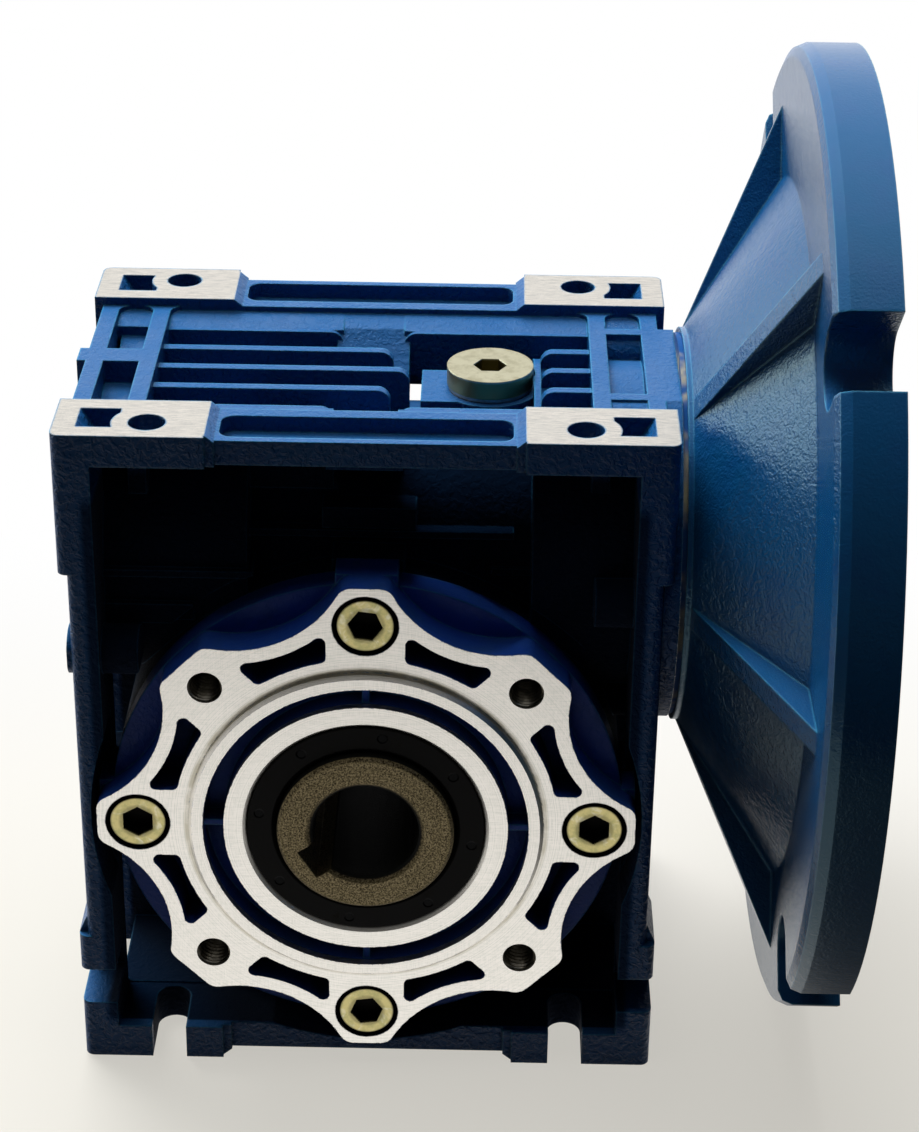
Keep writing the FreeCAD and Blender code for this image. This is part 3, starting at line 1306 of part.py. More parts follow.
def flange_gasket():
    ring = cylinder("gasket_disc", "X", "input_ring_radius - gasket_inset", "input_face", FLANGE_BACK, ON_WORM)
    holes = [cylinder("gasket_bore", "X", "input_bearing_outer + 0.2", "input_face - 1",
                      FLANGE_BACK + " + 1", ON_WORM)]
    for index, angle in enumerate(around(int(number("ribs_round_flange")))):
        across = ("flange_screw_place * cos(%s)" % angle,
                  "centre_distance + flange_screw_place * sin(%s)" % angle)
        holes.append(cylinder("gasket_hole_%d" % index, "X", "flange_screw_radius", "input_face - 1",
                              FLANGE_BACK + " + 1", across))
    return sub_part(cut("gasket_ring", ring, holes), "flange_gasket")


def flange_screws():
    screws = []
    seat = FLANGE_BACK + " + flange_wall"
    for index, angle in enumerate(around(int(number("ribs_round_flange")))):
        across = ("flange_screw_place * cos(%s)" % angle,
                  "centre_distance + flange_screw_place * sin(%s)" % angle)
        name = "flange_screw_%d" % index
        head = cylinder(name + "_head", "X", "flange_screw_head_radius", seat,
                        seat + " + flange_screw_head_height", across)
        shank = cylinder(name + "_shank", "X", "flange_screw_radius",
                         seat + " - flange_screw_length", seat + " + 1", across)
        socket = hexagon(name + "_socket", "X", "flange_screw_socket",
                         seat + " + flange_screw_head_height / 2", seat + " + 10", across)
        screws.append(cut(name, fuse(name + "_mass", [head, shank]), [socket]))
    return sub_part(group("flange_screw_set", screws), "flange_screws")


# Filler plug
def filler_plug():
    spot = ("plug_place", "0")
    seat = "plug_boss_top + washer_thickness"
    top = seat + " + plug_collar_height"
    collar = cylinder("plug_collar", "Z", "plug_collar_radius", seat, top, spot)
    thread = cylinder("plug_thread", "Z", "plug_thread_radius", seat + " - plug_thread_length",
                      seat + " + 1", spot)
    socket = hexagon("plug_socket", "Z", "plug_socket_width", top + " - plug_socket_depth", top + " + 1", spot)
    return sub_part(cut("plug_rest", fuse("plug_mass", [collar, thread]), [socket]), "filler_plug")


def plug_washer():
    spot = ("plug_place", "0")
    disc = cylinder("washer_disc", "Z", "washer_radius", "plug_boss_top",
                    "plug_boss_top + washer_thickness", spot)
    hole = cylinder("washer_hole", "Z", "plug_thread_radius", "plug_boss_top - 1",
                    "plug_boss_top + washer_thickness + 1", spot)
    return sub_part(cut("washer_ring", disc, [hole]), "plug_washer")


casting()
output_cover()
cover_screws()
o_ring()
output_shaft()
worm_wheel()
worm_shaft()
for side_name, way in (("front_output", -1), ("rear_output", 1)):
    lip_seal(side_name + "_seal", "Y", "output_shaft_radius", "output_seal_radius",
             FAR_SEAT + " + output_seal_gap", "output_seal_width", way)
    bearing(side_name + "_bearing", "Y", "output_shaft_radius", "output_bearing_outer",
            "output_bearing_near", "output_bearing_width", "output_ball_radius", "output_ball_count", way)
bearing("worm_end_bearing", "X", "end_bearing_inner", "end_bearing_outer", "end_bearing_near",
        "end_bearing_width", "end_ball_radius", "end_ball_count", -1, ON_WORM)
bearing("worm_input_bearing", "X", "input_bearing_inner", "input_bearing_outer", "input_bearing_near",
        "input_bearing_width", "input_ball_radius", "input_ball_count", 1, ON_WORM)
lip_seal("worm_input_seal", "X", "input_bearing_inner", "input_bearing_outer", INPUT_SEAL_NEAR,
         "input_seal_width", 1, "centre_distance")
snap_ring("worm_end_snap_ring", END_FAR, "end_bearing_outer", -1)
snap_ring("worm_input_snap_ring", INPUT_FAR, "input_bearing_outer", 1)
end_cap()
motor_flange()
flange_gasket()
flange_screws()
filler_plug()
plug_washer()
doc.recompute()

for thing in doc.Objects:
    if "Invalid" in thing.State or "Error" in thing.State:
        raise RuntimeError("%s failed to build: %s" % (thing.Name, thing.State))
os.makedirs("parts", exist_ok=True)
for thing in sub_parts:
    shape = thing.Shape
    if shape.isNull() or not shape.isValid():
        raise RuntimeError("%s has no valid shape" % thing.Label)
    print("%-36s solids %2d volume %10.1f" % (thing.Label, len(shape.Solids), shape.Volume))
    shape.exportStep(os.path.join("parts", thing.Label + ".step"))
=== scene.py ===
import math

import bpy
from mathutils import Matrix, Vector


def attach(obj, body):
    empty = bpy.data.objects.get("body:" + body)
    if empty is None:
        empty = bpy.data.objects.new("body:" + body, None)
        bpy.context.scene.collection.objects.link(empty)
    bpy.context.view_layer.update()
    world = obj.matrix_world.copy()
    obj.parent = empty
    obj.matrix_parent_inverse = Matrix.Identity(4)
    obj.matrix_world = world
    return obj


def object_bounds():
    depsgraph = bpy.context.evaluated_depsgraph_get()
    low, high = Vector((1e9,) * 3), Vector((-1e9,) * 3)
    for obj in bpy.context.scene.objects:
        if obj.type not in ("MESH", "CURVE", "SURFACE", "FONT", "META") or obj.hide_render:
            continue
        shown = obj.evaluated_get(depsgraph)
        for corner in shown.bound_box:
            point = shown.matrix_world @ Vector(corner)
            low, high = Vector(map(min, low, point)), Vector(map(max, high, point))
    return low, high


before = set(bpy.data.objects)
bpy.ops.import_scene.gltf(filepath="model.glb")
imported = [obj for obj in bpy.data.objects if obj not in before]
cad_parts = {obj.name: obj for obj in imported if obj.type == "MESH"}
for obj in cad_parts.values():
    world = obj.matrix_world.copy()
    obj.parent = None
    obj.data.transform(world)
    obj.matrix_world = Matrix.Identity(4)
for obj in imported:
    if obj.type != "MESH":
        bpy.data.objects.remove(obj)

bl_info = {
    "name": "Worm Gear Reducer",
    "version": (1, 0, 0),
    "blender": (4, 5, 0),
    "location": "3D View > Sidebar > Reducer",
    "description": "Paint, bare metal, rubber and small moulded details for a compact worm gear reducer",
    "category": "Object",
}

CAD_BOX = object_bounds()
BODY = "gearbox_housing"
MM = 0.001
WHITE = (1, 1, 1, 1)

# Planes that are machined or plated, so a finish changes there
FLOOR_LEVEL = CAD_BOX[0][2]
PAD_TOP = 71.5 * MM
BODY_FACE = 36.5 * MM
INPUT_FACE = 51.2 * MM
FLANGE_FACE = 80 * MM
PLUG_TOP = max((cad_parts["filler_plug"].matrix_world @ Vector(corner)).z
               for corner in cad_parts["filler_plug"].bound_box)

# Round features: how far each lies from the output axis, and their radii
SCREW_PLACE = 38.6 * MM
TAPPED_PLACE = 26.52 * MM
PLUG_PLACE = 19.6 * MM
WORM_HEIGHT = 40 * MM
SEAL_BORE_RADIUS = 20.9 * MM
PILOT_FOOT_RADIUS = 30.3 * MM
HUB_RADIUS = 14.9 * MM
HUB_BORE_RADIUS = 9.6 * MM
SEAL_DOT_CIRCLE = 18.15 * MM
SEAL_DOT_RADIUS = 0.95 * MM
FLANGE_RIM = (80 * MM, 82 * MM)

# The screw threads in the cover's tapped holes
THREAD_RADIUS = 2.95 * MM
THREAD_DEPTH = 0.42 * MM
THREAD_PITCH = 1 * MM
THREAD_MIDDLE = -31.9 * MM
THREAD_TURNS = 8
THREAD_ROWS = 4


# Settings
class PaintSettings(bpy.types.PropertyGroup):
    colour: bpy.props.FloatVectorProperty(
        name="Paint", description="Colour of the blue paint", subtype="COLOR",
        size=4, min=0, max=1, default=(0.003, 0.062, 0.195, 1))
    # Light blue of thin, worn paint on the edges, which also serves as a painted highlight along the rounded
    # edges
    thin_paint_and_highlight_colour: bpy.props.FloatVectorProperty(
        name="Thin Paint", description="Paint where it is thin on an edge", subtype="COLOR",
        size=4, min=0, max=1, default=(0.04, 0.235, 0.4, 1))
    deep_colour: bpy.props.FloatVectorProperty(
        name="Pooled Paint", description="Paint where it has pooled", subtype="COLOR",
        size=4, min=0, max=1, default=(0.003, 0.045, 0.165, 1))
    # Painted sheen: a pale layer over the colour of the faces that look up, standing in for the haze of light
    # on the tops
    painted_sheen_colour: bpy.props.FloatVectorProperty(
        name="Veil", description="Dull veil over the surfaces that look up", subtype="COLOR",
        size=4, min=0, max=1, default=(0.25, 0.42, 0.55, 1))
    # Near black of the painted shade deep in the recesses and inside the openings
    recess_shade_colour: bpy.props.FloatVectorProperty(
        name="Recesses", description="Dirt and shade deep in the recesses", subtype="COLOR",
        size=4, min=0, max=1, default=(0.0008, 0.004, 0.012, 1))
    cover_colour: bpy.props.FloatVectorProperty(
        name="Cover Paint", description="Colour of the paint on the output cover", subtype="COLOR",
        size=4, min=0, max=1, default=(0.008, 0.055, 0.36, 1))
    flange_colour: bpy.props.FloatVectorProperty(
        name="Flange Paint", description="Colour of the paint on the motor flange", subtype="COLOR",
        size=4, min=0, max=1, default=(0.003, 0.06, 0.175, 1))
    roughness: bpy.props.FloatProperty(
        name="Roughness", description="How dull the paint is", subtype="FACTOR", min=0, max=1, default=0.3)
    edge_radius: bpy.props.FloatProperty(
        name="Edge Radius", description="Rounding of the cast edges under the paint", unit="LENGTH",
        min=0, max=0.003, default=0.6 * MM)


class MetalSettings(bpy.types.PropertyGroup):
    machined: bpy.props.FloatVectorProperty(
        name="Machined Aluminium", description="Colour of the milled and turned faces", subtype="COLOR",
        size=4, min=0, max=1, default=(0.95, 0.9, 0.825, 1))
    yellow_zinc: bpy.props.FloatVectorProperty(
        name="Yellow Zinc", description="Colour of the passivated screws", subtype="COLOR",
        size=4, min=0, max=1, default=(0.56, 0.48, 0.21, 1))
    plug_zinc: bpy.props.FloatVectorProperty(
        name="Plug Zinc", description="Colour of the filler plug", subtype="COLOR",
        size=4, min=0, max=1, default=(0.66, 0.63, 0.45, 1))
    hub_iron: bpy.props.FloatVectorProperty(
        name="Hub Iron", description="Colour of the turned iron hub", subtype="COLOR",
        size=4, min=0, max=1, default=(0.125, 0.1, 0.045, 1))
    bronze: bpy.props.FloatVectorProperty(
        name="Wheel Bronze", description="Colour of the worm wheel", subtype="COLOR",
        size=4, min=0, max=1, default=(0.62, 0.38, 0.14, 1))
    steel: bpy.props.FloatVectorProperty(
        name="Steel", description="Colour of the bearings and the worm", subtype="COLOR",
        size=4, min=0, max=1, default=(0.56, 0.56, 0.57, 1))


class StageSettings(bpy.types.PropertyGroup):
    floor_colour: bpy.props.FloatVectorProperty(
        name="Floor", description="Colour of the floor near the object", subtype="COLOR",
        size=4, min=0, max=1, default=(0.88, 0.855, 0.79, 1))
    back_light: bpy.props.FloatProperty(
        name="Back Light", description="Power of the large lamp above and behind", subtype="POWER", min=0,
        default=39)
    overhead_light: bpy.props.FloatProperty(
        name="Overhead Light", description="Power of the soft lamp overhead", subtype="POWER", min=0,
        default=12)
    fill_light: bpy.props.FloatProperty(
        name="Fill Light", description="Power of the weak lamp in front", subtype="POWER", min=0,
        default=0.25)
    left_light: bpy.props.FloatProperty(
        name="Left Light", description="Power of the low lamp at the left", subtype="POWER", min=0,
        default=9)
    sky: bpy.props.FloatProperty(
        name="Sky", description="Strength of the plain light from all round", min=0, max=1, default=0.008)


# Building a finish
class Finish:
    """A material under construction, with its pattern on the object's own coordinates."""

    def __init__(self, name, colour, metallic, roughness, **sockets):
        self.material = bpy.data.materials.new(name)
        self.material.use_nodes = True
        self.nodes = self.material.node_tree.nodes
        self.links = self.material.node_tree.links
        self.shader = self.nodes["Principled BSDF"]
        self.set("Base Color", colour)
        self.set("Metallic", metallic)
        self.set("Roughness", roughness)
        for socket, value in sockets.items():
            self.set(socket.replace("_", " "), value)
        self.place = self.nodes.new("ShaderNodeTexCoord").outputs["Object"]
        self.axes = tuple(self.node("ShaderNodeSeparateXYZ", [self.place]).outputs)

    def node(self, kind, inputs=(), **settings):
        made = self.nodes.new(kind)
        for setting, value in settings.items():
            setattr(made, setting, value)
        pairs = inputs.items() if isinstance(inputs, dict) else enumerate(inputs)
        for socket, value in pairs:
            self.feed(made.inputs[socket], value)
        return made

    def feed(self, socket, value):
        if isinstance(value, bpy.types.NodeSocket):
            self.links.new(value, socket)
        else:
            socket.default_value = value

    def set(self, socket, value):
        self.feed(self.shader.inputs[socket], value)

    # Sums
    def work(self, operation, first, second=0.5):
        return self.node("ShaderNodeMath", [first, second], operation=operation).outputs[0]

    def add(self, first, second):
        return self.work("ADD", first, second)

    def less(self, first, second):
        return self.work("SUBTRACT", first, second)

    def without(self, share):
        """What a share from nothing to one leaves over."""
        return self.less(1.0, share)

    def absolute(self, value):
        return self.work("ABSOLUTE", value)

    def times(self, first, *others):
        for other in others:
            first = self.work("MULTIPLY", first, other)
        return first

    def most(self, first, *others):
        for other in others:
            first = self.work("MAXIMUM", first, other)
        return first

    def ramp(self, value, low, high, start=0.0, end=1.0):
        """Runs smoothly from start to end while value goes from low to high."""
        inputs = {"Value": value, "From Min": low, "From Max": high, "To Min": start, "To Max": end}
        return self.node("ShaderNodeMapRange", inputs, interpolation_type="SMOOTHSTEP").outputs["Result"]

    # Mixing
    def mix(self, kind, output, pairs):
        mixer = self.node("ShaderNodeMix", data_type=kind)
        for index, value in pairs:
            self.feed(mixer.inputs[index], value)
        return mixer.outputs[output]

    def between(self, factor, first, second):
        return self.mix("FLOAT", 0, ((0, factor), (2, first), (3, second)))

    def between_normals(self, factor, first, second):
        return self.mix("VECTOR", 1, ((0, factor), (4, first), (5, second)))

    def blend(self, factor, first, second):
        return self.mix("RGBA", 2, ((0, factor), (6, first), (7, second)))

    # Patterns
    def grain(self, size, detail=2.0, roughness=0.5, stretch=None, distortion=0.0):
        """Noise whose lumps are about one size across, in metres."""
        place = self.place
        if stretch:
            place = self.node("ShaderNodeMapping", {"Vector": self.place, "Scale": stretch}).outputs[0]
        inputs = {"Vector": place, "Scale": 1 / size, "Detail": detail, "Roughness": roughness,
                  "Distortion": distortion}
        return self.node("ShaderNodeTexNoise", inputs).outputs["Fac"]

    def turned_rings(self, out, fineness, detail):
        """Noise that changes only with the distance out from an axis, as turning leaves it."""
        inputs = {"W": out, "Scale": fineness, "Detail": detail}
        return self.node("ShaderNodeTexNoise", inputs, noise_dimensions="1D").outputs["Fac"]

    def bump(self, height, depth, strength=1.0, normal=None):
        inputs = {"Strength": strength, "Distance": depth, "Height": height}
        if normal is not None:
            inputs["Normal"] = normal
        return self.node("ShaderNodeBump", inputs).outputs["Normal"]

    # Places on the object
    def radius(self, across, up):
        """Distance from an axis, by the two coordinates across it."""
        return self.work("SQRT", self.add(self.times(across, across), self.times(up, up)))

    def at_face(self, along, plane, way):
        """One on a flat face across an axis, nothing from 0.06 mm inside it."""
        return self.ramp(along, plane - way * 0.06 * MM, plane - way * 0.03 * MM)

    def rounding(self, radius):
        """Rounded edge normals, and how near a point is to an edge."""
        soft = self.node("ShaderNodeBevel", {"Radius": radius}, samples=6).outputs[0]
        flat = self.node("ShaderNodeNewGeometry").outputs["Normal"]
        along = self.node("ShaderNodeVectorMath", [soft, flat], operation="DOT_PRODUCT").outputs["Value"]
        return soft, self.ramp(along, 0.995, 0.8)

    def upward(self):
        """One on surfaces that look up, nothing on upright ones."""
        normal = self.node("ShaderNodeNewGeometry").outputs["Normal"]
        return self.ramp(self.node("ShaderNodeSeparateXYZ", [normal]).outputs["Z"], 0.3, 0.9)

    def to_nearest(self, across, up, near, level=None):
        """Distance to the nearest of four axes: on the two middle lines, or on the diagonals with a level."""
        flipped = [self.absolute(place) for place in (across, up)]
        if level is not None:
            return self.radius(self.less(flipped[0], near), self.less(flipped[1], level))
        level_pair = self.radius(self.less(flipped[0], near), up)
        upright_pair = self.radius(across, self.less(flipped[1], near))
        return self.work("MINIMUM", level_pair, upright_pair)

    def dots(self, across, up, circle, count, turn, size):
        """Round dots evenly spaced on a circle about the object's origin, one inside a dot."""
        angle = self.work("ARCTAN2", up, across)
        step = 2 * math.pi / count
        share = self.work("DIVIDE", self.less(angle, math.radians(turn) - 20 * step), step)
        off = self.less(self.work("FRACT", self.add(share, 0.5)), 0.5)
        along = self.times(off, step * circle)
        out = self.less(self.radius(across, up), circle)
        return self.ramp(self.radius(along, out), size, size * 0.7)


def dress(names, finish):
    """Gives a finish to CAD nodes through their material slots."""
    for name in names:
        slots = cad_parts[name].material_slots
        if not slots:
            raise RuntimeError("%s has no material slot" % name)
        for slot in slots:
            slot.material = finish.material


# Paint
def recess_shade(finish, start, most):
    """Shade deep in recesses, weak at the top of the casting and absent on what looks up there."""
    height = finish.axes[2]
    open_sky = finish.node("ShaderNodeAmbientOcclusion", {"Distance": 20 * MM}, samples=4).outputs["AO"]
    lit_top = finish.times(finish.upward(), finish.ramp(height, 54 * MM, 58 * MM))
    return finish.times(finish.ramp(open_sky, start, start * 0.4, 0, most), finish.without(lit_top),
                        finish.ramp(height, 56 * MM, 60 * MM, 1, 0.2))


def opening_shade(finish):
    """Shade inside the casting's two large openings, and under its lower bars."""
    x, y, z = finish.axes
    ends = finish.ramp(finish.absolute(x), 46.4 * MM, 44.9 * MM)
    faces = finish.ramp(finish.absolute(y), 36.6 * MM, 35.1 * MM)
    below_top = finish.ramp(z, 62 * MM, 58 * MM)
    above_feet = finish.ramp(z, -44 * MM, -41 * MM)
    behind_bars = finish.ramp(finish.absolute(y), 33.7 * MM, 33.2 * MM)
    return finish.times(finish.most(finish.times(ends, faces, below_top, above_feet),
                                    finish.times(ends, below_top, behind_bars)), 0.97)


def painted(name, peel, peel_size, pits, lump=0.9 * MM, tone=None, gloss=0.14, gloss_tint=WHITE,
            painted_sheen_most=0.07, shade_most=0.92, shade_from=0.62, roughness=None, openings=False):
    """Blue paint over a cast surface, with painted sheen on top, painted edge highlights and painted recess
    shade. Returns the finish, its colour, normal, edges and roughness.

    peel and peel_size are the depth and the spacing of the paint's own skin, pits and lump those of the
    cast surface under it.
    """
    paint = bpy.context.scene.reducer_paint
    tone = tone or paint.colour
    finish = Finish(name, tone, 0, paint.roughness, Specular_IOR_Level=gloss, Specular_Tint=gloss_tint)
    soft, edges = finish.rounding(paint.edge_radius)
    cloud = finish.grain(9 * MM, 3, 0.6)
    colour = finish.blend(finish.ramp(cloud, 0.4, 0.8, 0, 0.7), tone, paint.deep_colour)
    # Painted sheen: paler on the faces that look up
    painted_sheen = finish.times(finish.upward(), finish.ramp(cloud, 0.3, 0.7, painted_sheen_most / 3, painted_sheen_most))
    colour = finish.blend(painted_sheen, colour, paint.painted_sheen_colour)
    # Thin, worn paint on the edges and a painted highlight there: lighter blue along the edges
    thin_edge_and_highlight = finish.times(edges, finish.ramp(finish.grain(3 * MM, 4, 0.6), 0.25, 0.7, 0.35, 0.9))
    colour = finish.blend(thin_edge_and_highlight, colour, paint.thin_paint_and_highlight_colour)

    shade = recess_shade(finish, shade_from, shade_most)
    if openings:
        shade = finish.most(shade, opening_shade(finish))
    # Painted shade: the colour darkens to near black deep in the recesses and inside the openings, less on
    # edges, so that these show faintly there
    shade = finish.times(shade, finish.ramp(edges, 0, 1, 1, 0.72))
    colour = finish.blend(shade, colour, paint.recess_shade_colour)
    dull = finish.between(shade, roughness or paint.roughness, 0.95)

    skin = finish.bump(finish.grain(peel_size, 2, 0.45), peel, 0.7, soft)
    lumps = finish.times(finish.ramp(finish.grain(lump, 3, 0.55, distortion=0.6), 0.4, 0.62),
                         finish.ramp(finish.upward(), 0, 1, 1, 0.3))
    return finish, colour, finish.bump(lumps, pits, 1.0, skin), edges, dull


def tool_marks(finish, out=None):
    """Height of a milled face's scratches, which run both ways, or of turned rings as well."""
    marks = finish.add(finish.grain(1.2 * MM, 3, 0.6, stretch=(14, 14, 0.6)),
                       finish.grain(1.6 * MM, 3, 0.6, stretch=(0.7, 12, 12)))
    if out is not None:
        marks = finish.add(marks, finish.turned_rings(out, 5200, 2))
    return marks


def scratches(finish, marks):
    return finish.bump(marks, 0.02 * MM, 0.6)


class REDUCER_OT_casting(bpy.types.Operator):
    """Paints the casting and leaves its machined pads, feet and faces bare"""
    bl_idname = "reducer.casting"
    bl_label = "Casting"

    def execute(self, context):
        finish, colour, skin, edges, dull = painted(
            "casting paint", peel=0.04 * MM, peel_size=0.9 * MM, pits=0.2 * MM, lump=1.1 * MM, openings=True)
        x, y, z = finish.axes
        bare = finish.most(finish.at_face(z, PAD_TOP, 1), finish.at_face(z, FLOOR_LEVEL, -1),
                           finish.at_face(y, BODY_FACE, 1), finish.at_face(x, INPUT_FACE, 1))
        ragged_edge = finish.ramp(finish.add(edges, finish.grain(1 * MM, 4, 0.7)), 0.78, 0.86)
        bare = finish.times(bare, finish.without(ragged_edge))
        marks = tool_marks(finish)
        darker_tone = (0.55, 0.54, 0.51, 1)
        metal = finish.blend(finish.ramp(marks, 0.8, 1.25), context.scene.reducer_metal.machined, darker_tone)
        finish.set("Base Color", finish.blend(bare, colour, metal))
        finish.set("Metallic", bare)
        finish.set("Roughness", finish.between(bare, dull, 0.42))
        finish.set("Normal", finish.between_normals(bare, skin, scratches(finish, marks)))
        dress(["housing"], finish)
        return {"FINISHED"}


class REDUCER_OT_cover(bpy.types.Operator):
    """Gives the output cover its turned face, painted sides and painted pockets"""
    bl_idname = "reducer.cover"
    bl_label = "Output Cover"

    def execute(self, context):
        finish, colour, skin, _, dull = painted(
            "cover paint", peel=0.03 * MM, peel_size=0.9 * MM, pits=0.04 * MM, shade_from=0.33,
            tone=context.scene.reducer_paint.cover_colour)
        x, y, z = finish.axes
        out = finish.radius(x, z)
        near_edge = finish.rounding(0.3 * MM)[1]
        ragged_edge = finish.times(near_edge, finish.ramp(finish.grain(0.9 * MM, 4, 0.7), 0.5, 0.56))
        face = finish.times(finish.at_face(y, -BODY_FACE, -1), finish.without(ragged_edge))
        tapped_holes = finish.ramp(finish.to_nearest(x, z, TAPPED_PLACE, TAPPED_PLACE), 3.02 * MM, 2.98 * MM)
        seal_bore = finish.ramp(out, SEAL_BORE_RADIUS, SEAL_BORE_RADIUS - 0.1 * MM)
        bare = finish.most(face, finish.most(tapped_holes, seal_bore))
        marks = tool_marks(finish, out)
        darker_tone, stained, counterbore_shade_colour = (0.755, 0.74, 0.665, 1), (0.5, 0.46, 0.35, 1), (0.003, 0.003, 0.003, 1)
        metal = finish.blend(finish.ramp(marks, 1.3, 1.8), context.scene.reducer_metal.machined, darker_tone)
        from_foot = finish.absolute(finish.less(out, PILOT_FOOT_RADIUS))
        stain = finish.times(finish.ramp(from_foot, 0.75 * MM, 0.2 * MM),
                             finish.ramp(finish.grain(6 * MM, 3, 0.6), 0.35, 0.6, 0.25, 0.75))
        metal = finish.blend(stain, metal, stained)
        # Painted shade: near black inside the screw counterbores, behind the face
        counterbore_shade = finish.times(finish.ramp(finish.to_nearest(x, z, SCREW_PLACE), 5.62 * MM, 5.56 * MM),
                              finish.ramp(y, -36.6 * MM, -36.3 * MM))
        finish.set("Base Color", finish.blend(counterbore_shade, finish.blend(bare, colour, metal), counterbore_shade_colour))
        finish.set("Metallic", finish.times(bare, finish.without(counterbore_shade)))
        finish.set("Roughness", finish.between(bare, dull, 0.38))
        finish.set("Normal", finish.between_normals(bare, skin, scratches(finish, marks)))
        dress(["output_cover"], finish)
        return {"FINISHED"}


class REDUCER_OT_flange(bpy.types.Operator):
    """Paints the motor flange and leaves its face bare"""
    bl_idname = "reducer.flange"
    bl_label = "Motor Flange"

    def execute(self, context):
        finish, colour, skin, _, dull = painted(
            "flange paint", peel=0.15 * MM, peel_size=0.42 * MM, pits=0.04 * MM, lump=1.6 * MM, gloss=0.45,
            gloss_tint=(0.62, 1, 1, 1), painted_sheen_most=0.03, shade_most=0.6, roughness=0.2,
            tone=context.scene.reducer_paint.flange_colour)
        x, y, z = finish.axes
        bare = finish.at_face(x, FLANGE_FACE, 1)
        marks = tool_marks(finish)
        darker_tone = (0.6, 0.585, 0.54, 1)
        metal = finish.blend(finish.ramp(marks, 0.8, 1.25), context.scene.reducer_metal.machined, darker_tone)
        finish.set("Base Color", finish.blend(bare, colour, metal))
        finish.set("Metallic", bare)
        finish.set("Roughness", finish.between(bare, dull, 0.4))
        smooth_rim = finish.ramp(finish.radius(y, finish.less(z, WORM_HEIGHT)), *FLANGE_RIM, 0, 0.6)
        finish.set("Normal", finish.between_normals(finish.most(smooth_rim, bare), skin,
                                                    scratches(finish, marks)))
        dress(["input_flange"], finish)
        return {"FINISHED"}


# Metal and rubber
def plain_metal(name, colour, dull, roughness, grain_size):
    """A bare or plated metal with a fine grain and duller patches."""
    finish = Finish(name, colour, 1, roughness)
    patches = finish.ramp(finish.grain(grain_size * 4, 4, 0.65), 0.4, 0.7)
    finish.set("Base Color", finish.blend(patches, colour, dull))
    finish.set("Roughness", finish.ramp(patches, 0, 1, roughness, roughness + 0.15))
    grain = finish.grain(grain_size, 3, 0.6)
    finish.set("Normal", finish.bump(grain, 0.02 * MM, 0.6, finish.rounding(0.25 * MM)[0]))
    return finish


class REDUCER_OT_threads(bpy.types.Operator):
    """Winds the screw threads in the four tapped holes of the cover"""
    bl_idname = "reducer.threads"
    bl_label = "Tapped Threads"

    def execute(self, context):
        sleeve = self.sleeve(context)
        # The threads are much darker than the turned face: painted shade inside the tapped holes
        finish = plain_metal("tapped aluminium", (0.32, 0.3, 0.26, 1), (0.12, 0.11, 0.09, 1), 0.3, 0.5 * MM)
        sleeve.data.materials.append(finish.material)
        for index in range(4):
            copy = sleeve.copy()
            copy.data = sleeve.data.copy()
            context.collection.objects.link(copy)
            side = 1 if index % 2 else -1
            rise = 1 if index > 1 else -1
            place = (side * TAPPED_PLACE, THREAD_MIDDLE, rise * TAPPED_PLACE)
            copy.data.transform(Matrix.Translation(place))
            copy.name = "cover_thread_%d" % (index + 1)
            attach(copy, BODY)
        bpy.data.objects.remove(sleeve)
        return {"FINISHED"}

    def sleeve(self, context):
        """An open tube along Y whose wall follows one thread, seen from inside."""
        bpy.ops.object.select_all(action="DESELECT")
        bpy.ops.mesh.primitive_cylinder_add(vertices=40, radius=THREAD_RADIUS,
                                            depth=THREAD_TURNS * THREAD_PITCH, end_fill_type="NOTHING",
                                            location=(0, 0, 0), rotation=(math.pi / 2, 0, 0))
        sleeve = context.object
        bpy.ops.object.transform_apply(location=False, rotation=True, scale=False)
        bpy.ops.object.mode_set(mode="EDIT")
        last_row = THREAD_TURNS * THREAD_ROWS // 2
        for row in range(1 - last_row, last_row):
            bpy.ops.mesh.select_all(action="SELECT")
            bpy.ops.mesh.bisect(plane_co=(0, row * THREAD_PITCH / THREAD_ROWS, 0), plane_no=(0, 1, 0))
        bpy.ops.object.mode_set(mode="OBJECT")
        for vertex in sleeve.data.vertices:
            turn = math.atan2(vertex.co.z, vertex.co.x) / (2 * math.pi)
            wave = abs((vertex.co.y / THREAD_PITCH + turn) % 1 - 0.5) * 2
            stretch = (THREAD_RADIUS - THREAD_DEPTH * wave) / math.hypot(vertex.co.x, vertex.co.z)
            vertex.co.x *= stretch
            vertex.co.z *= stretch
        bpy.ops.object.mode_set(mode="EDIT")
        bpy.ops.mesh.select_all(action="SELECT")
        bpy.ops.mesh.flip_normals()
        bpy.ops.object.mode_set(mode="OBJECT")
        bpy.ops.object.shade_smooth_by_angle(angle=math.radians(50))
        return sleeve


class REDUCER_OT_rubber(bpy.types.Operator):
    """Makes the lip seals, the end cap and the sealing ring of black rubber"""
    bl_idname = "reducer.rubber"
    bl_label = "Seals"

    def execute(self, context):
        clean, dusty, dimple_shade = (0.0062, 0.0056, 0.005, 1), (0.014, 0.012, 0.009, 1), (0.0003, 0.0003, 0.0003, 1)
        finish = Finish("seal rubber", clean, 0, 0.55, Specular_IOR_Level=0.06)
        dust = finish.ramp(finish.grain(2 * MM, 5, 0.7), 0.5, 0.8)
        dots = finish.dots(finish.axes[0], finish.axes[2], SEAL_DOT_CIRCLE, 8, 81, SEAL_DOT_RADIUS)
        # Painted shade: the dots, pressed in as dimples, are near black
        finish.set("Base Color", finish.blend(dots, finish.blend(dust, clean, dusty), dimple_shade))
        finish.set("Roughness", finish.ramp(dust, 0, 1, 0.48, 0.65))
        skin = finish.bump(finish.grain(0.5 * MM), 0.02 * MM, 0.5, finish.rounding(0.3 * MM)[0])
        finish.set("Normal", finish.bump(finish.without(dots), 0.5 * MM, 1.0, skin))
        dress(["front_output_seal", "rear_output_seal", "worm_input_seal", "output_cover_o_ring",
               "worm_end_cap"], finish)
        return {"FINISHED"}


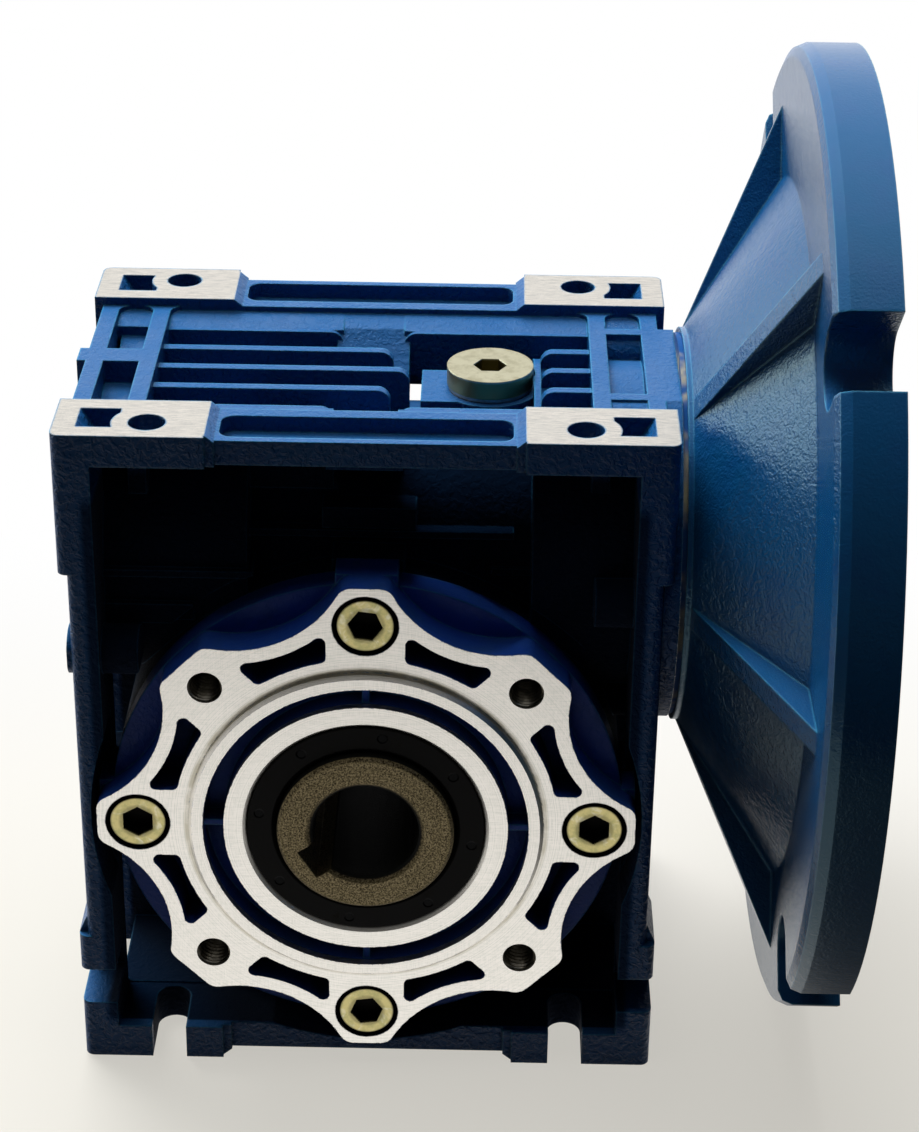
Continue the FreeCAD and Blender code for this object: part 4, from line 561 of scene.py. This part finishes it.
class REDUCER_OT_fasteners(bpy.types.Operator):
    """Plates the cover screws and flange screws in yellow zinc"""
    bl_idname = "reducer.fasteners"
    bl_label = "Screws"

    def execute(self, context):
        zinc = context.scene.reducer_metal.yellow_zinc
        dress(["flange_screws"], plain_metal("flange screw zinc", zinc, (0.42, 0.4, 0.2, 1), 0.32, 0.5 * MM))
        dull_zinc, bright_zinc = (0.4, 0.37, 0.16, 1), (0.86, 0.82, 0.66, 1)
        darker_tone, socket_shade_colour = (0.05, 0.045, 0.03, 1), (0.012, 0.011, 0.01, 1)
        finish = Finish("cover screw zinc", zinc, 1, 0.3)
        x, y, z = finish.axes
        out = finish.to_nearest(x, z, SCREW_PLACE)
        patches = finish.ramp(finish.grain(1.6 * MM, 4, 0.7), 0.38, 0.68)
        colour = finish.blend(patches, zinc, dull_zinc)
        bright = finish.ramp(finish.grain(2.6 * MM, 3, 0.6, distortion=0.8), 0.54, 0.72, 0, 0.45)
        colour = finish.blend(bright, colour, bright_zinc)
        # Painted shade: the rim of each head and the edge of its socket darken
        rim = finish.ramp(out, 4.3 * MM, 4.75 * MM, 0, 0.85)
        socket_edge = finish.times(finish.ramp(out, 3.5 * MM, 2.9 * MM), 0.45)
        colour = finish.blend(finish.most(rim, socket_edge), colour, darker_tone)
        # Painted shade: near black inside each socket and in a thin ring at the head's edge
        socket = finish.times(finish.ramp(out, 3.3 * MM, 3.1 * MM), finish.ramp(y, -36.2 * MM, -35.6 * MM))
        dark = finish.most(socket, finish.ramp(out, 4.66 * MM, 4.69 * MM))
        finish.set("Base Color", finish.blend(dark, colour, socket_shade_colour))
        finish.set("Roughness", finish.between(dark, 0.3, 0.7))
        grain = finish.grain(0.5 * MM, 3, 0.6)
        finish.set("Normal", finish.bump(grain, 0.02 * MM, 0.6, finish.rounding(0.35 * MM)[0]))
        dress(["output_cover_screws"], finish)
        return {"FINISHED"}


class REDUCER_OT_plug(bpy.types.Operator):
    """Plates the filler plug and its washer"""
    bl_idname = "reducer.plug"
    bl_label = "Filler Plug"

    def execute(self, context):
        zinc = context.scene.reducer_metal.plug_zinc
        dull_zinc, side_reflection_zinc, socket_shade_zinc = (0.5, 0.47, 0.31, 1), (0.52, 0.34, 0.14, 1), (0.25, 0.22, 0.1, 1)
        finish = Finish("plug zinc", zinc, 1, 0.38)
        x, y, z = finish.axes
        out = finish.radius(finish.less(x, PLUG_PLACE), y)
        patches = finish.ramp(finish.grain(2.4 * MM, 4, 0.65), 0.4, 0.7)
        # The sides are a warmer, darker zinc than the top: a painted golden reflection
        top = finish.ramp(z, PLUG_TOP - 0.5 * MM, PLUG_TOP - 0.2 * MM)
        colour = finish.blend(top, side_reflection_zinc, finish.blend(patches, zinc, dull_zinc))
        # Painted shade: darker inside the socket
        socket = finish.times(finish.ramp(out, 3.2 * MM, 3 * MM),
                              finish.ramp(z, PLUG_TOP - 0.1 * MM, PLUG_TOP - 0.5 * MM))
        finish.set("Base Color", finish.blend(socket, colour, socket_shade_zinc))
        grain = finish.grain(0.6 * MM, 3, 0.6)
        finish.set("Normal", finish.bump(grain, 0.02 * MM, 0.6, finish.rounding(0.35 * MM)[0]))
        dress(["filler_plug"], finish)
        dress(["plug_washer"], plain_metal("washer aluminium", (0.45, 0.44, 0.42, 1), (0.3, 0.3, 0.28, 1),
                                           0.45, 0.4 * MM))
        return {"FINISHED"}


class REDUCER_OT_hub(bpy.types.Operator):
    """Makes the hollow output shaft of turned grey iron, with painted shade in its bore and on its side"""
    bl_idname = "reducer.hub"
    bl_label = "Output Hub"

    def execute(self, context):
        iron = context.scene.reducer_metal.hub_iron
        pale_grit, dark_grit, shade_black = (0.27, 0.215, 0.12, 1), (0.03, 0.022, 0.01, 1), (0.004, 0.004, 0.003, 1)
        finish = Finish("hub iron", iron, 0.85, 0.5, Specular_IOR_Level=0.15)
        out = finish.radius(finish.axes[0], finish.axes[2])
        grit = finish.ramp(finish.grain(0.32 * MM, 3, 0.75), 0.4, 0.6)
        rings = finish.turned_rings(out, 3000, 3)
        colour = finish.blend(grit, pale_grit, dark_grit)
        colour = finish.blend(finish.ramp(rings, 0.45, 0.65, 0, 0.5), colour, iron)
        # Painted shade: near black in the bore and on the hub's side, which also turn duller and less metallic
        # there
        shaded_bore_and_side = finish.most(finish.ramp(out, HUB_BORE_RADIUS, HUB_BORE_RADIUS - 0.3 * MM),
                            finish.ramp(out, HUB_RADIUS, HUB_RADIUS + 0.05 * MM))
        finish.set("Base Color", finish.blend(shaded_bore_and_side, colour, shade_black))
        finish.set("Roughness", finish.between(shaded_bore_and_side, 0.5, 0.6))
        finish.set("Metallic", finish.between(shaded_bore_and_side, 0.85, 0.1))
        finish.set("Normal", finish.bump(finish.add(grit, rings), 0.03 * MM, 0.7,
                                         finish.rounding(0.35 * MM)[0]))
        dress(["output_shaft"], finish)
        return {"FINISHED"}


class REDUCER_OT_inner_parts(bpy.types.Operator):
    """Finishes the wheel, the worm, the bearings, the snap rings and the gasket"""
    bl_idname = "reducer.inner_parts"
    bl_label = "Wheel, Worm and Bearings"

    def execute(self, context):
        metal = context.scene.reducer_metal
        dress(["worm_wheel"], plain_metal("wheel bronze", metal.bronze, (0.45, 0.26, 0.1, 1), 0.34, 0.6 * MM))
        dress(["worm_shaft"], plain_metal("worm steel", metal.steel, (0.4, 0.4, 0.4, 1), 0.28, 0.4 * MM))
        bearings = ["%s_bearing" % place for place in ("front_output", "rear_output", "worm_end", "worm_input")]
        pieces = ("outer_ring", "inner_ring", "balls")
        dress(["%s_%s" % (bearing, piece) for bearing in bearings for piece in pieces],
              plain_metal("bearing steel", metal.steel, (0.45, 0.45, 0.46, 1), 0.2, 0.3 * MM))
        dress(["%s_cage" % bearing for bearing in bearings],
              plain_metal("pressed steel", (0.42, 0.41, 0.39, 1), (0.3, 0.29, 0.27, 1), 0.4, 0.5 * MM))
        dress(["worm_end_snap_ring", "worm_input_snap_ring"],
              plain_metal("spring steel", (0.12, 0.12, 0.125, 1), (0.07, 0.07, 0.07, 1), 0.35, 0.4 * MM))
        pale, dark = (0.36, 0.33, 0.22, 1), (0.2, 0.18, 0.11, 1)
        paper = Finish("gasket paper", pale, 0, 0.85)
        painted_over = paper.ramp(paper.grain(11 * MM, 3), 0.34, 0.48)
        paper.set("Base Color", paper.blend(painted_over, paper.blend(paper.grain(1 * MM, 4), pale, dark),
                                            context.scene.reducer_paint.deep_colour))
        paper.set("Normal", paper.bump(paper.grain(0.4 * MM, 4), 0.03 * MM, 0.7))
        dress(["flange_gasket"], paper)
        return {"FINISHED"}


class REDUCER_OT_stage(bpy.types.Operator):
    """Sets the pale floor, the soft lamps and the camera"""
    bl_idname = "reducer.stage"
    bl_label = "Stage"

    def execute(self, context):
        stage = context.scene.reducer_stage
        bpy.ops.object.select_all(action="DESELECT")
        bpy.ops.mesh.primitive_plane_add(size=12, location=(0, 0, 0))
        floor = context.object
        floor.name = "floor"
        for vertex in floor.data.vertices:
            vertex.co.z = FLOOR_LEVEL
        floor.data.materials.append(self.floor_finish(stage.floor_colour))
        self.sky(context, stage.sky)
        self.lamp(context, "back lamp", stage.back_light, 0.85, (-0.3, 0.72, 1.05))
        self.lamp(context, "overhead lamp", stage.overhead_light, 1.0, (-0.05, 0.2, 1.4))
        left = self.lamp(context, "left lamp", stage.left_light, 1.0, (-1.3, 0.6, 0.45))
        left.data.color = (0.88, 0.99, 1)
        left.visible_glossy = True
        self.lamp(context, "front fill", stage.fill_light, 1.2, (-0.6, -1.0, 1.2))
        self.camera(context)
        return {"FINISHED"}

    def seen(self, nodes, links):
        """One for rays that show the background, and nothing for rays that light the object."""
        path = nodes.new("ShaderNodeLightPath")
        total = path.outputs["Is Camera Ray"]
        for ray in ("Is Glossy Ray", "Is Transmission Ray"):
            either = nodes.new("ShaderNodeMath")
            either.operation = "MAXIMUM"
            links.new(total, either.inputs[0])
            links.new(path.outputs[ray], either.inputs[1])
            total = either.outputs[0]
        return total

    def floor_finish(self, colour):
        """Pale near the object, glowing white behind it and far away, and dark in reflections in front."""
        finish = Finish("pale floor", colour, 0, 0.7, Specular_IOR_Level=0.1)
        x, y = finish.axes[:2]
        cloud = finish.grain(0.4, 2)
        lit, dull = (tuple(part * share for part in colour[:3]) + (1,) for share in (0.57, 0.55))
        finish.set("Base Color", finish.blend(cloud, lit, dull))
        away = finish.most(finish.ramp(y, -0.03, 0.17), finish.ramp(finish.radius(x, y), 0.32, 0.8))
        glow = finish.node("ShaderNodeEmission", {"Color": finish.blend(away, colour, WHITE)})
        shown = finish.node("ShaderNodeMixShader", [finish.ramp(away, 0, 1, 0.62, 1),
                                                    finish.shader.outputs[0], glow.outputs[0]])
        front = finish.times(finish.ramp(y, -0.32, -0.2, 0.1, 0.97),
                             finish.most(finish.ramp(x, 0.085, 0.055, 0.12, 1), finish.ramp(y, -0.02, 0.05)))
        mirrored = finish.node("ShaderNodeEmission", {"Strength": front})
        camera_ray = finish.node("ShaderNodeLightPath").outputs["Is Camera Ray"]
        visible = finish.node("ShaderNodeMixShader", [camera_ray, mirrored.outputs[0], shown.outputs[0]])
        dim = finish.node("ShaderNodeBsdfDiffuse", {"Color": (0.05, 0.05, 0.048, 1)})
        whole = finish.node("ShaderNodeMixShader", [self.seen(finish.nodes, finish.links),
                                                    dim.outputs[0], visible.outputs[0]])
        finish.links.new(whole.outputs[0], finish.nodes["Material Output"].inputs["Surface"])
        return finish.material

    def sky(self, context, strength):
        """A white room whose front is dark in reflections, and which gives little light itself."""
        world = bpy.data.worlds.new("white tent")
        context.scene.world = world
        world.use_nodes = True
        nodes, links = world.node_tree.nodes, world.node_tree.links
        axes = nodes.new("ShaderNodeSeparateXYZ")
        links.new(nodes.new("ShaderNodeTexCoord").outputs["Generated"], axes.inputs[0])
        room = nodes.new("ShaderNodeMapRange")
        room.interpolation_type = "SMOOTHSTEP"
        for socket, value in (("From Min", -0.5), ("From Max", 0.05), ("To Min", 0.06), ("To Max", 1)):
            room.inputs[socket].default_value = value
        links.new(axes.outputs["Y"], room.inputs["Value"])
        shown = nodes.new("ShaderNodeMath")
        shown.operation = "MAXIMUM"
        links.new(nodes.new("ShaderNodeLightPath").outputs["Is Camera Ray"], shown.inputs[0])
        links.new(room.outputs["Result"], shown.inputs[1])
        level = nodes.new("ShaderNodeMapRange")
        level.inputs["To Min"].default_value = strength
        links.new(self.seen(nodes, links), level.inputs["Value"])
        links.new(shown.outputs[0], level.inputs["To Max"])
        nodes["Background"].inputs["Color"].default_value = WHITE
        links.new(level.outputs["Result"], nodes["Background"].inputs["Strength"])

    def lamp(self, context, name, power, size, place):
        """A square lamp aimed at the origin, not seen in reflections."""
        bpy.ops.object.light_add(type="AREA", location=place)
        lamp = context.object
        lamp.name = name
        lamp.data.energy = power
        lamp.data.size = size
        lamp.visible_glossy = False
        lamp.rotation_euler = (-Vector(place)).to_track_quat("-Z", "Y").to_euler()
        return lamp

    def camera(self, context):
        """The camera's place and angles, in the photograph's frame of 919 by 1132."""
        turn, tilt, roll = math.radians(-0.446), math.radians(27.847), math.radians(0.828)
        ahead = Vector((math.sin(turn) * math.cos(tilt), math.cos(turn) * math.cos(tilt), -math.sin(tilt)))
        level = Vector((math.cos(turn), -math.sin(turn), 0))
        above = level.cross(ahead)
        right = math.cos(roll) * level + math.sin(roll) * above
        up = -math.sin(roll) * level + math.cos(roll) * above
        bpy.ops.object.camera_add()
        camera = context.object
        camera.name = "camera"
        camera.data.sensor_fit = "VERTICAL"
        camera.data.sensor_height = 36
        camera.data.lens = 88.93
        camera.data.clip_start = 0.01
        turned = Matrix((right, up, -ahead)).transposed().to_4x4()
        camera.matrix_world = Matrix.Translation((0.018266, -0.433566, 0.259836)) @ turned
        context.scene.camera = camera
        context.scene.view_settings.view_transform = "Standard"


class REDUCER_PT_panel(bpy.types.Panel):
    bl_label = "Worm Gear Reducer"
    bl_idname = "REDUCER_PT_panel"
    bl_space_type = "VIEW_3D"
    bl_region_type = "UI"
    bl_category = "Reducer"

    def draw(self, context):
        for operator in OPERATORS:
            self.layout.operator(operator.bl_idname)
        for group in (context.scene.reducer_paint, context.scene.reducer_metal, context.scene.reducer_stage):
            for name in group.__annotations__:
                self.layout.prop(group, name)


OPERATORS = (
    REDUCER_OT_casting,
    REDUCER_OT_cover,
    REDUCER_OT_flange,
    REDUCER_OT_threads,
    REDUCER_OT_rubber,
    REDUCER_OT_fasteners,
    REDUCER_OT_plug,
    REDUCER_OT_hub,
    REDUCER_OT_inner_parts,
    REDUCER_OT_stage,
)
SETTINGS = (PaintSettings, MetalSettings, StageSettings)


def register():
    for kind in SETTINGS + OPERATORS + (REDUCER_PT_panel,):
        bpy.utils.register_class(kind)
    bpy.types.Scene.reducer_paint = bpy.props.PointerProperty(type=PaintSettings)
    bpy.types.Scene.reducer_metal = bpy.props.PointerProperty(type=MetalSettings)
    bpy.types.Scene.reducer_stage = bpy.props.PointerProperty(type=StageSettings)


def unregister():
    del bpy.types.Scene.reducer_stage
    del bpy.types.Scene.reducer_metal
    del bpy.types.Scene.reducer_paint
    for kind in reversed(SETTINGS + OPERATORS + (REDUCER_PT_panel,)):
        bpy.utils.unregister_class(kind)


def main():
    register()
    bpy.ops.reducer.casting()
    bpy.ops.reducer.cover()
    bpy.ops.reducer.flange()
    bpy.ops.reducer.threads()
    bpy.ops.reducer.rubber()
    bpy.ops.reducer.fasteners()
    bpy.ops.reducer.plug()
    bpy.ops.reducer.hub()
    bpy.ops.reducer.inner_parts()
    bpy.ops.reducer.stage()


if __name__ == "__main__":
    main()
